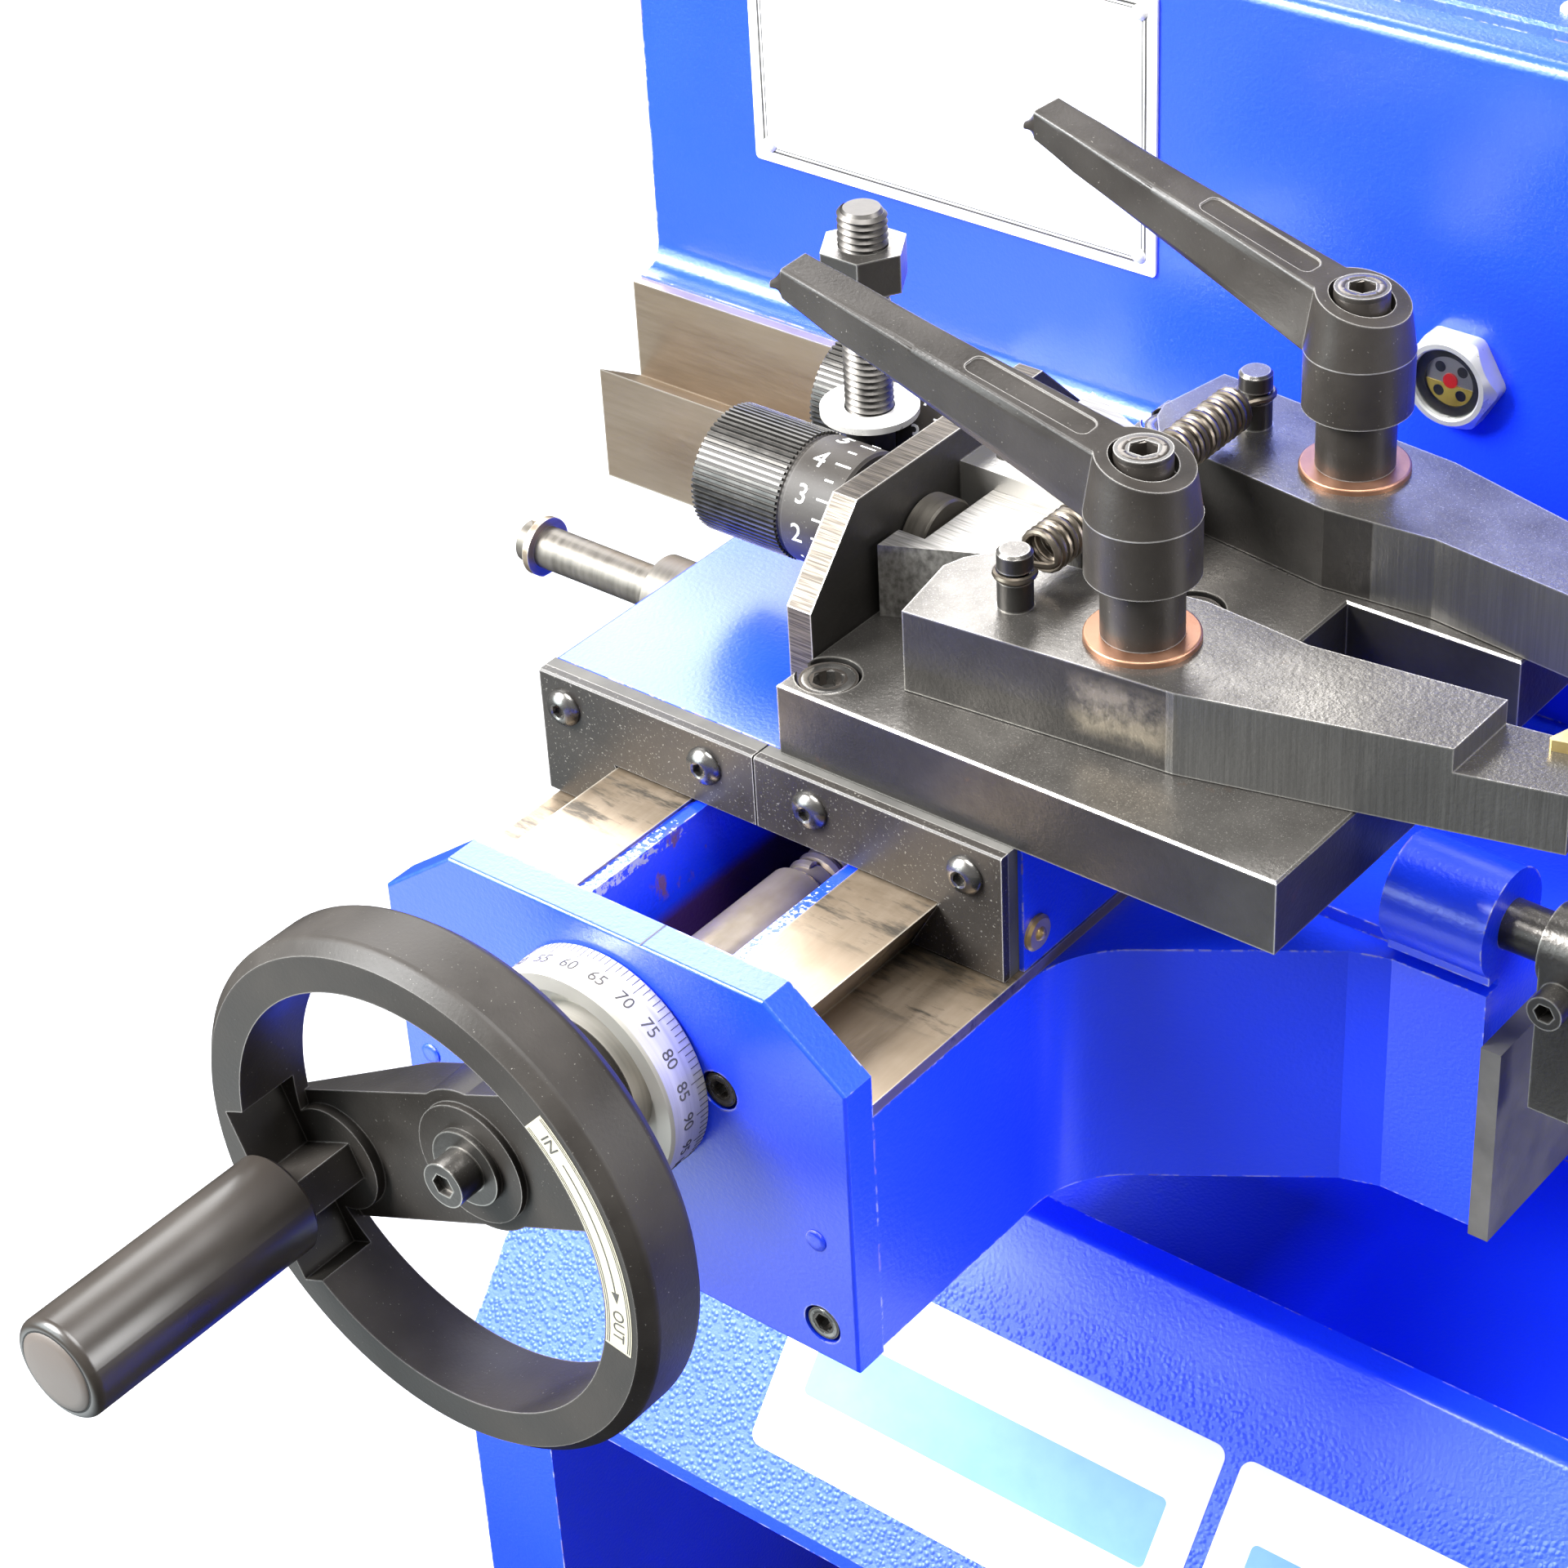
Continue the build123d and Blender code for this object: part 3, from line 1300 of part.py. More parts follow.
# Tension spring: a loop round each post and one coil between them, drawn as arcs through sampled tangents
front_post = Vector(screw_x + post_x, plate_y + mid_y - post_from_mid, saddle_z + groove_z)
post_span = 2 * post_from_mid
coil_end = post_span - coil_start
pitch = (coil_end - coil_start) / coil_turns


def loop_pose(angle, along):
    turn = math.radians(angle)
    point = front_post + Vector(hook_r * math.cos(turn), along + hook_r * math.sin(turn), 0)
    return point, Vector(-math.sin(turn), math.cos(turn), 0)


def coil_pose(turns):
    turn = 2 * math.pi * turns
    point = front_post + Vector(coil_r * math.cos(turn), coil_start + pitch * turns, coil_r * math.sin(turn))
    heading = Vector(-coil_r * math.sin(turn), pitch / (2 * math.pi), coil_r * math.cos(turn))
    return point, heading.normalized()


def biarc(start, finish):
    (p0, t0), (p1, t1) = start, finish
    chord = p1 - p0
    both = t0 + t1
    spread = 2 * (1 - t0.dot(t1))
    reach = chord.dot(both)
    arm = (math.sqrt(reach * reach + spread * chord.dot(chord)) - reach) / spread
    near_corner = p0 + t0 * arm
    far_corner = p1 - t1 * arm
    joint = (near_corner + far_corner) * 0.5
    TangentArc(p0, joint, tangent=t0)
    TangentArc(joint, p1, tangent=far_corner - near_corner)


hook_steps = [hook_wrap * step / 4 for step in range(5)]
poses = [loop_pose(angle + 360 - hook_wrap, 0.0) for angle in hook_steps]
poses += [coil_pose(half / 2) for half in range(2 * coil_turns + 1)]
poses += [loop_pose(angle, post_span) for angle in hook_steps]
lead_in = poses[0][0] - poses[0][1] * (2 * wire_r)
lead_out = poses[-1][0] + poses[-1][1] * (2 * wire_r)
with BuildPart() as arm_spring:
    with BuildLine() as wire:
        Line(lead_in, poses[0][0])
        for start, finish in zip(poses, poses[1:]):
            biarc(start, finish)
        Line(poses[-1][0], lead_out)
    with BuildSketch(Plane(origin=lead_in, z_dir=poses[0][1])) as section:
        Circle(wire_r)
    sweep(section.sketch, path=wire.wires()[0])
save(arm_spring, "arm_spring")

samples = [coil_pose(step / 16)[0] for step in range(16 * coil_turns + 1)]
least = min((samples[i] - samples[i + 16]).length for i in range(len(samples) - 16)) - 2 * wire_r
print("arm_spring least gap to itself", round(least, 2), "mm")
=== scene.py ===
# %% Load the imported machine
import json
import math
import bmesh
import bpy
from mathutils import Matrix, Vector


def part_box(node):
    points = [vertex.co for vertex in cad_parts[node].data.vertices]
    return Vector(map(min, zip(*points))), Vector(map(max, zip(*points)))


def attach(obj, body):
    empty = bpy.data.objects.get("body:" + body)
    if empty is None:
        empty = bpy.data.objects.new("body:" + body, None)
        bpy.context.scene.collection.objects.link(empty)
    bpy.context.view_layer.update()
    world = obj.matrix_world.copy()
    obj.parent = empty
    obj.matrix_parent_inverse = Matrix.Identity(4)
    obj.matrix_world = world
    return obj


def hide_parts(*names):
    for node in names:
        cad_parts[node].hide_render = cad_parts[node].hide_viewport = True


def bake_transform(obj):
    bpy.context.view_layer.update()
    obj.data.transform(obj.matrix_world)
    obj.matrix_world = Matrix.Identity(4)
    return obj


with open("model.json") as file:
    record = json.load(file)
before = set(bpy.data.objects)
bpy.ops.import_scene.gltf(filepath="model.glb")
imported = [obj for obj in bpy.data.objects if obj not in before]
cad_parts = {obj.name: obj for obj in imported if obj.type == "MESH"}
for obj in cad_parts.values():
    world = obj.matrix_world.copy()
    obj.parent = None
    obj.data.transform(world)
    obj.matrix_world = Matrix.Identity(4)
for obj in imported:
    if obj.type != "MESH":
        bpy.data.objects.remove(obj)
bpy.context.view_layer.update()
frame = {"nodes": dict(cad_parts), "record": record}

nodes = frame["nodes"]
scene = bpy.context.scene

# %% [markdown]
# The machine was measured from its cross slide, so every place below is written in that "tool frame":
# millimetres from the cross screw's axis, the tool plate's front edge and the saddle's top.
# One small function turns such a place into the model's frame, in metres.

# %% Places in the tool frame
MM = 0.001
ORIGIN = Vector((-127.5, -205.0, 500.0))


def place(x, y, z):
    return (ORIGIN + Vector((x, y, z))) * MM


print("tool frame starts at", tuple(place(0, 0, 0)))

# %% [markdown]
# The camera stands to the right of the handwheel and looks down across the cross slide.
# Its turn, height and tilt come from lining up straight edges of the machine with the picture,
# and the lens is a mild telephoto, so parallel edges stay nearly parallel.

# %% Camera
VIEW_TURN, VIEW_DOWN, VIEW_ROLL = (math.radians(angle) for angle in (40.51, 34.77, -3.42))
LENS_MM, SENSOR_MM = 87.19, 36.0


def put(name, data):
    """Make an object of some data and set it in the scene."""
    made = bpy.data.objects.new(name, data)
    scene.collection.objects.link(made)
    return made


view_back = Vector((math.sin(VIEW_TURN) * math.cos(VIEW_DOWN), -math.cos(VIEW_TURN) * math.cos(VIEW_DOWN),
                    math.sin(VIEW_DOWN)))
level_right = Vector((math.cos(VIEW_TURN), math.sin(VIEW_TURN), 0))
level_up = view_back.cross(level_right)
view_right = level_right * math.cos(VIEW_ROLL) + level_up * math.sin(VIEW_ROLL)
view_up = level_up * math.cos(VIEW_ROLL) - level_right * math.sin(VIEW_ROLL)

lens = bpy.data.cameras.new("photo_camera")
lens.sensor_width, lens.lens = SENSOR_MM, LENS_MM
camera = put("photo_camera", lens)
camera.matrix_world = Matrix((view_right, view_up, view_back)).transposed().to_4x4()
camera.location = place(540.5, -631.9, 567.1)
scene.camera = camera
scene.view_settings.view_transform = "Standard"
print("camera at", tuple(round(v, 3) for v in camera.location))


# %% [markdown]
# Materials and Geometry Nodes trees are both made of nodes, so one helper hangs a node on either kind of tree.
# It sets the node's options and plugs each input with another node's output or with a plain value. A second
# one hands on one output of the new node, ready to be plugged in elsewhere.

# %% Helpers for every node
def plug(tree, socket, value):
    if isinstance(value, bpy.types.NodeSocket):
        tree.links.new(value, socket)
    else:
        socket.default_value = value


def hang(tree, kind, inputs=None, **options):
    made = tree.nodes.new(kind)
    for option, value in options.items():
        setattr(made, option, value)
    for socket, value in (inputs or {}).items():
        plug(tree, made.inputs[socket], value)
    return made


def tap(tree, kind, inputs=None, output=0, **options):
    return hang(tree, kind, inputs, **options).outputs[output]


# %% [markdown]
# A product shot on white: a pale floor that keeps a soft shadow, a white surround, and large soft lamps. The
# one behind and to the left glances off every top face, which is what bleaches the saddle and picks out the
# paint's orange peel. To everything but the eye the floor is a dark workshop floor with one bright patch at
# the front left, so upright black parts stay dark and upright paint catches a sheen.

# %% Lamps and surround
WHITE = (1, 1, 1, 1)
LAMPS_AIM = place(30, 60, -40)


def lamp(name, at, size, watts, tint=(1, 1, 1)):
    light = bpy.data.lights.new(name, "AREA")
    light.shape, light.size = "DISK", size
    light.energy, light.color = watts, tint
    stand = put(name, light)
    stand.location = at
    stand.rotation_euler = (LAMPS_AIM - Vector(at)).to_track_quat("-Z", "Y").to_euler()


lamp("softbox_back_left", (-1.62, 1.2, 1.85), 1.5, 54)
lamp("softbox_above", (0.2, -0.2, 2.2), 1.2, 60)
lamp("softbox_main", (-1.3, -1.35, 1.85), 1.2, 200)
lamp("softbox_low_left", (-1.3, -1.7, 0.95), 1.4, 46, (0.84, 0.96, 1))
lamp("softbox_right", (2.0, 0.5, 1.3), 1.2, 60)


def by_ray(tree, seen, mirrored, otherwise):
    """Mix shaders by the kind of ray: seen directly, mirrored in a gloss, or light bouncing about."""
    path = hang(tree, "ShaderNodeLightPath").outputs
    straight = {0: path["Is Camera Ray"], 1: path["Is Transmission Ray"]}
    direct = tap(tree, "ShaderNodeMath", straight, operation="MAXIMUM")
    soft = tap(tree, "ShaderNodeMixShader", {0: path["Is Glossy Ray"], 1: otherwise, 2: mirrored})
    return tap(tree, "ShaderNodeMixShader", {0: direct, 1: soft, 2: seen})


world = bpy.data.worlds.new("white_surround")
scene.world = world
world.use_nodes = True
world.node_tree.nodes.clear()
sky, room, glow = (tap(world.node_tree, "ShaderNodeBackground", {"Color": WHITE, "Strength": strength})
                   for strength in (1.0, 0.35, 0.3))
hang(world.node_tree, "ShaderNodeOutputWorld", {"Surface": by_ray(world.node_tree, sky, room, glow)})
print("lamps and surround ready")

# %% Floor
PATCH_AT, PATCH_TINT = (-0.57, -0.79, 0), (0.86, 0.96, 1, 1)
FLOOR_HALF, FLOOR_DROP = 6, -0.001
floor_finish = bpy.data.materials.new("studio_floor")
floor_finish.use_nodes = True
floor_tree = floor_finish.node_tree


def smooth(value, near, far, at_near, at_far):
    spread = {"Value": value, "From Min": near, "From Max": far, "To Min": at_near, "To Max": at_far}
    return tap(floor_tree, "ShaderNodeMapRange", spread, interpolation_type="SMOOTHSTEP")


paper = floor_tree.nodes["Principled BSDF"]
paper.inputs["Base Color"].default_value = (0.45, 0.45, 0.45, 1)
paper.inputs["Roughness"].default_value = 0.9
spot = tap(floor_tree, "ShaderNodeTexCoord", output="Object")
far = tap(floor_tree, "ShaderNodeVectorMath", {0: spot}, "Value", operation="LENGTH")
white = tap(floor_tree, "ShaderNodeEmission", {"Color": WHITE, "Strength": 1.0})
sweep = tap(floor_tree, "ShaderNodeMixShader", {0: smooth(far, 0.9, 2.4, 0, 1), 1: paper.outputs[0], 2: white})
away = tap(floor_tree, "ShaderNodeVectorMath", {0: spot, 1: PATCH_AT}, "Value", operation="DISTANCE")
shine = smooth(away, 0.05, 0.58, 3.3, 0.06)
lit_paper = tap(floor_tree, "ShaderNodeEmission", {"Color": PATCH_TINT, "Strength": shine})
dim_paper = tap(floor_tree, "ShaderNodeBsdfDiffuse", {"Color": (0.2, 0.2, 0.2, 1)})
floor_output = floor_tree.nodes["Material Output"].inputs["Surface"]
plug(floor_tree, floor_output, by_ray(floor_tree, sweep, lit_paper, dim_paper))

floor_mesh = bpy.data.meshes.new("studio_floor")
floor_corners = [(x * FLOOR_HALF, y * FLOOR_HALF, FLOOR_DROP) for x, y in ((-1, -1), (1, -1), (1, 1), (-1, 1))]
floor_mesh.from_pydata(floor_corners, [], [(0, 1, 2, 3)])
floor_mesh.materials.append(floor_finish)
floor = put("studio_floor", floor_mesh)
print("floor ready")


# %% [markdown]
# Every finish below is one Principled shader with a few texture nodes. The Finish class keeps that short:
# it holds the shader and offers the handful of moves the finishes share, such as stretched noise for grinding
# marks, a shade laid over another by masks, a bump, and a mask along worn edges (the Bevel node's rounded
# normal differs from the true one only near an edge).

# %% A finish and its moves
class Finish:
    def __init__(self, name, metal=0.0, rough=0.4, specular=0.5):
        self.material = bpy.data.materials.new(name)
        self.material.use_nodes = True
        self.tree = self.material.node_tree
        self.shader = self.tree.nodes["Principled BSDF"]
        self.here = self.tap("TexCoord", output="Object")
        self.set(Metallic=metal, Roughness=rough, Specular_IOR_Level=specular)

    def tap(self, kind, inputs=None, output=0, **options):
        return tap(self.tree, "ShaderNode" + kind, inputs, output, **options)

    def set(self, **values):
        for name, value in values.items():
            plug(self.tree, self.shader.inputs[name.replace("_", " ")], value)

    def noise(self, scale, stretch=(1, 1, 1), detail=3.0, roughness=0.55):
        mapped = self.tap("Mapping", {"Vector": self.here, "Scale": stretch})
        return self.tap("TexNoise", {"Vector": mapped, "Scale": scale, "Detail": detail, "Roughness": roughness})

    def levels(self, value, low, high, out_low=0.0, out_high=1.0):
        spread = {"Value": value, "From Min": low, "From Max": high, "To Min": out_low, "To Max": out_high}
        return self.tap("MapRange", spread)

    def patches(self, low, high, *noise, **more_noise):
        """Noise as a mask: nothing below `low`, full above `high`."""
        return self.levels(self.noise(*noise, **more_noise), low, high)

    def math(self, operation, a, b=0.0):
        return self.tap("Math", {0: a, 1: b}, operation=operation)

    def times(self, first, *others):
        for other in others:
            first = self.math("MULTIPLY", first, other)
        return first

    def mix(self, factor, a, b):
        a, b = ((*shade, 1) if isinstance(shade, tuple) else shade for shade in (a, b))
        return self.tap("Mix", {0: factor, 6: a, 7: b}, 2, data_type="RGBA")

    def over(self, tone, shade, *masks):
        """Lay a shade over a tone, as far as the product of the masks allows."""
        return self.mix(self.times(*masks), tone, shade)

    def worn_edges(self, radius, low, high):
        rounded = self.tap("Bevel", {"Radius": radius}, samples=4)
        true = self.tap("NewGeometry", output="Normal")
        agree = self.tap("VectorMath", {0: rounded, 1: true}, "Value", operation="DOT_PRODUCT")
        return self.levels(agree, 1 - low, 1 - high)

    def along(self, axis):
        return self.tap("SeparateXYZ", {0: self.here}, axis)

    def facing(self, axis):
        return self.tap("SeparateXYZ", {0: self.tap("NewGeometry", output="Normal")}, axis)

    def between(self, axis, low, high, soft):
        """One between two places along an axis (tool frame, millimetres), fading out over `soft`."""
        start = ORIGIN["XYZ".index(axis)]
        here = self.along(axis)
        rise = self.levels(here, (start + low - soft) * MM, (start + low) * MM)
        fall = self.levels(here, (start + high + soft) * MM, (start + high) * MM)
        return self.times(rise, fall)

    def zone(self, **spans):
        """One inside a box, given for each axis as `between` takes it."""
        return self.times(*(self.between(axis, *span) for axis, span in spans.items()))

    def relief(self, height, strength, distance):
        self.set(Normal=self.tap("Bump", {"Height": height, "Strength": strength, "Distance": distance}))


# %% [markdown]
# The castings wear a thick, vivid blue enamel sprayed over rough iron. Two things make it look like paint and
# not plastic: a fine orange peel in the bump, and a clear gloss on top that turns nearly white where a lamp
# glances off it. A slow noise shifts the blue a little. Sharp corners are chipped down to pale filler and rust,
# the ribs beside the cross ways are rubbed to grains, and the sloping apron has a coarse, beaded peel. A painted
# shadow, dark blue, darkens the corner of the chip tray under the arm.

# %% Blue enamel
FILLER, RUST, RUBBED = (0.62, 0.6, 0.55), (0.2, 0.075, 0.03), (0.5, 0.52, 0.58)
# The last of these is the dark blue of a painted shadow in the chip tray.
STAIN, PRIMER, TRAY_SHADOW_BLUE = (0.2, 0.08, 0.035), (0.07, 0.02, 0.012), (0.001, 0.006, 0.1)


def blue_enamel():
    enamel = Finish("blue_enamel", rough=0.34, specular=0.6)
    tone = enamel.mix(enamel.patches(0.3, 0.7, 9, detail=2), (0.006, 0.04, 0.88), (0.009, 0.05, 0.95))
    edge = enamel.worn_edges(0.0012, 0.05, 0.3)
    tone = enamel.over(tone, (0.05, 0.12, 0.86), edge, 0.35)
    chips = enamel.times(edge, enamel.patches(0.49, 0.55, 170, detail=4, roughness=0.65))
    tone = enamel.over(tone, FILLER, chips, 0.85)
    tone = enamel.over(tone, RUST, chips, enamel.patches(0.52, 0.58, 90), 0.8)

    ribs = enamel.math("MAXIMUM", enamel.between("X", -27.5, -23, 1), enamel.between("X", 23, 31, 0.3))
    ribs = enamel.times(ribs, enamel.between("Z", -28, -22, 0.5), enamel.between("Y", -63.8, 0, 0.1))
    ribs = enamel.times(ribs, enamel.between("Y", -64, -36, 26))
    grain = enamel.math("ADD", enamel.noise(650), enamel.times(ribs, 0.16))
    grain = enamel.levels(enamel.math("SUBTRACT", grain, 0.14), 0.46, 0.52)
    grains = enamel.times(grain, enamel.levels(ribs, 0.05, 0.2))
    tone = enamel.over(tone, RUBBED, grains, 0.8)

    wall = enamel.zone(X=(-25, -22, 1), Y=(-26, -6, 6), Z=(-42, -27, 3))
    tone = enamel.over(tone, STAIN, wall, enamel.patches(0.56, 0.62, 120, (1, 1, 0.6), 4, 0.6), 0.8)
    trough = enamel.zone(X=(-24.5, 24.5, 0.2), Z=(-76, -52, 5), Y=(-66, 160, 1))
    tone = enamel.over(tone, PRIMER, trough, 0.85)
    # Painted shadow: the corner of the chip tray under the arm is laid dark blue, as shade.
    tray_shadow = enamel.zone(X=(20, 72, 28), Y=(112, 160, 24), Z=(-240, -233, 2))
    tone = enamel.over(tone, TRAY_SHADOW_BLUE, tray_shadow, 0.8)

    slope = enamel.times(enamel.levels(enamel.facing("Y"), -0.6, -0.7), enamel.levels(enamel.facing("Z"), 0.5, 0.58))
    slope = enamel.times(slope, enamel.between("Z", -600, -224, 14))
    sheen = enamel.levels(enamel.noise(25, detail=1.5), 0.2, 0.8, 0.28, 0.37)
    beads = enamel.tap("TexVoronoi", {"Vector": enamel.here, "Scale": 520.0, "Randomness": 0.9})
    beaded = enamel.times(enamel.levels(beads, 0.55, 0.05), enamel.times(slope, 2.2))
    peel = enamel.times(enamel.noise(800, detail=2.5, roughness=0.5), 0.75)
    height = enamel.math("ADD", enamel.math("ADD", peel, beaded), enamel.times(grains, 0.8))
    enamel.relief(height, 0.24, 0.0009)
    enamel.set(Base_Color=tone, Roughness=enamel.math("ADD", sheen, enamel.times(slope, 0.1)),
               Coat_Weight=enamel.levels(slope, 0, 1, 0.5, 0.15), Coat_Roughness=0.22,
               Specular_Tint=(0.7, 0.9, 1, 1))
    return enamel.material


blue = blue_enamel()
print("made", blue.name)

# %% [markdown]
# The ways are bare ground iron, warm grey with a film of old oil. Grinding leaves fine streaks along the
# travel, so the noise is stretched along it; broad smudges darken the metal and dull it, and the cross ways are
# smeared with black and brown where the wipers push the dirt to a stop.

# %% Ground ways
DULL_IRON, CLEAN_IRON, EDGE_IRON = (0.49, 0.41, 0.315), (0.58, 0.5, 0.4), (0.75, 0.7, 0.6)
OIL_FILM, BROWN_DIRT, BLACK_SMEAR = (0.2, 0.15, 0.1), (0.12, 0.085, 0.05), (0.05, 0.046, 0.04)


def tinted(shade, tint):
    return tuple(part * share for part, share in zip(shade, tint))


def ground_iron(name, stretch, tone, warm=1.0, wiped=False):
    iron = Finish(name, metal=0.75, rough=0.3)
    tint = (tone, tone * warm, tone * warm * warm)
    streak = iron.patches(0.3, 0.72, 90, stretch, 5, 0.65)
    oil = iron.patches(0.44, 0.72, 26, detail=4, roughness=0.6)
    shade = iron.over(iron.mix(streak, tinted(DULL_IRON, tint), tinted(CLEAN_IRON, tint)), OIL_FILM, oil, 0.6)
    if wiped:
        dirt = iron.patches(0.32, 0.6, 75, (0.5, 1, 1), 5, 0.65)
        shade = iron.over(shade, BROWN_DIRT, dirt, iron.between("Y", -10, 0, 16), 0.75)
        smear = iron.patches(0.49, 0.61, 110, (0.3, 1.3, 1), 5, 0.72)
        shade = iron.over(shade, BLACK_SMEAR, smear, iron.between("Y", -28, -4, 8), 0.85)
    shade = iron.over(shade, EDGE_IRON, iron.worn_edges(0.001, 0.02, 0.2), 0.5)
    iron.relief(iron.noise(220, stretch), 0.1, 0.0004)
    iron.set(Base_Color=shade, Roughness=iron.levels(iron.math("ADD", streak, oil), 0, 1.6, 0.28, 0.42))
    return iron.material


cross_iron = ground_iron("ground_cross_ways", (5, 0.7, 5), 0.56, 0.94, wiped=True)
bed_iron = ground_iron("ground_bed_way", (0.5, 5, 5), 0.42, 0.93)
bright_iron = ground_iron("ground_screw", (2.5, 1.2, 2.5), 0.88)
print("made", cross_iron.name, bed_iron.name, bright_iron.name)

# %% [markdown]
# The tool plate, arms and bracket are milled steel, chemically blackened and then handled: mid grey with a
# speckle of dust and oil, brown where it has begun to rust, and bright along every edge. Upright faces are
# painted darker than the tops, as shade. The arms' outer ends were milled after blackening, so their flanks
# carry upright cutter lines, and a splash of coolant has dried beside them. The bracket was sawn, and its rim
# shows the lines of the saw.

# %% Blackened tool steel
MILLED_FROM = 106
DARK_STEEL, PALE_STEEL, SHADED_SIDE_STEEL = (0.065, 0.06, 0.055), (0.135, 0.127, 0.117), (0.03, 0.028, 0.026)
STEEL_RUST, DUST, EDGE_STEEL = (0.16, 0.075, 0.035), (0.5, 0.48, 0.44), (0.55, 0.53, 0.49)
CUT_LOW, CUT_HIGH, COOLANT = (0.12, 0.117, 0.112), (0.155, 0.152, 0.146), (0.3, 0.26, 0.2)
SAWN_LOW, SAWN_HIGH, BRACKET_FACE = (0.045, 0.038, 0.031), (0.125, 0.108, 0.088), (0.34, 0.33, 0.31)


def tool_steel(name, milled=False, sawn=False):
    steel = Finish(name, metal=0.78, rough=0.4)
    cloud = steel.patches(0.3, 0.7, 38, detail=5, roughness=0.6)
    level = steel.math("ABSOLUTE", steel.facing("Z"))
    upright = steel.levels(level, 0.6, 0.3)
    # Painted shade: upright faces are laid darker than the tops.
    tone = steel.over(steel.mix(cloud, DARK_STEEL, PALE_STEEL), SHADED_SIDE_STEEL, upright, 0.6)
    tone = steel.over(tone, STEEL_RUST, steel.patches(0.66, 0.76, 48, detail=6, roughness=0.7), 0.45)
    dust = steel.times(steel.patches(0.64, 0.72, 2600, detail=1), steel.levels(steel.facing("Z"), 0.3, 0.7))
    tone = steel.over(tone, DUST, dust, 0.32)
    height, dull = steel.noise(700, detail=2), 0.0
    if milled:
        start = (ORIGIN.x + MILLED_FROM) * MM
        flank = steel.levels(level, 0.5, 0.2)
        cut = steel.times(flank, steel.levels(steel.along("X"), start, start + 0.0005))
        lines = steel.noise(900, (1, 1, 0.03), 2, 0.7)
        tone = steel.mix(cut, tone, steel.mix(steel.levels(lines, 0.3, 0.7), CUT_LOW, CUT_HIGH))
        splash = steel.zone(X=(84, 103, 7), Z=(30, 40, 5), Y=(-20, 60, 5))
        dried = steel.times(splash, steel.patches(0.36, 0.56, 120, detail=4, roughness=0.6))
        tone = steel.over(tone, COOLANT, dried, flank, 0.8)
        height = steel.math("ADD", height, steel.times(lines, cut, 0.9))
    if sawn:
        tone = steel.mix(steel.between("X", 0.3, 80, 0.1), tone, BRACKET_FACE)
        rim = steel.levels(steel.math("ABSOLUTE", steel.facing("X")), 0.7, 0.4)
        rim = steel.times(rim, steel.between("X", -40, 0.2, 0.1))
        lines = steel.noise(2500, (0.03, 1, 1), 1.5, 0.6)
        tone = steel.mix(rim, tone, steel.mix(steel.levels(lines, 0.38, 0.62), SAWN_LOW, SAWN_HIGH))
        dull = steel.times(rim, 0.22)
        height = steel.math("ADD", height, steel.times(lines, rim, 2.2))
    tone = steel.over(tone, EDGE_STEEL, steel.worn_edges(0.0009, 0.02, 0.16), 0.75)
    dull = steel.math("MAXIMUM", dull, steel.times(upright, 0.1))
    steel.relief(height, 0.16, 0.0006)
    steel.set(Base_Color=tone, Roughness=steel.math("ADD", steel.levels(cloud, 0, 1, 0.35, 0.25), dull))
    return steel.material


plate_steel = tool_steel("blackened_plate")
arm_steel = tool_steel("blackened_arm", milled=True)
sawn_steel = tool_steel("blackened_sawn", sawn=True)
print("made", plate_steel.name, arm_steel.name, sawn_steel.name)

# %% [markdown]
# Handwheel, levers and wiper plates have a satin black coating, softer than gloss, with a fine grain and the
# odd pale speck. The grip is polished black plastic that shows finger smears only in its gloss.

# %% Black coatings and plastics
BLACK_LOW, BLACK_HIGH, SPECK = (0.018, 0.0155, 0.0135), (0.033, 0.029, 0.0255), (0.4, 0.38, 0.34)
BARE_TINT = (1, 0.96, 0.91)


def satin_black(name, tone, rough, metal=0.0, specular=0.5, worn=0.3, specks=0.74, bare=0.26):
    coat = Finish(name, metal, rough, specular)
    cloud = coat.patches(0.3, 0.7, 45, detail=4)
    dark = coat.mix(cloud, tinted(BLACK_LOW, (tone,) * 3), tinted(BLACK_HIGH, (tone,) * 3))
    dark = coat.over(dark, SPECK, coat.patches(specks, specks + 0.05, 1500, detail=1), 0.3)
    dark = coat.over(dark, tinted(BARE_TINT, (bare,) * 3), coat.worn_edges(0.0008, 0.04, 0.3), worn)
    coat.relief(coat.noise(900, detail=2), 0.1, 0.0005)
    coat.set(Base_Color=dark, Roughness=coat.levels(cloud, 0, 1, rough - 0.05, rough + 0.06))
    return coat.material


def plain_finish(name, low, high, rough, metal=0.0, grain=60, stretch=(1, 1, 1), bump=0.05, bump_grain=600):
    """A simple finish: two near shades, clouded roughness and a slight grain."""
    coat = Finish(name, metal, rough)
    cloud = coat.patches(0.3, 0.7, grain, stretch, 4)
    coat.relief(coat.noise(bump_grain, stretch, 2), bump, 0.0004)
    coat.set(Base_Color=coat.mix(cloud, low, high), Roughness=coat.levels(cloud, 0, 1, rough * 0.85, rough * 1.15))
    return coat.material


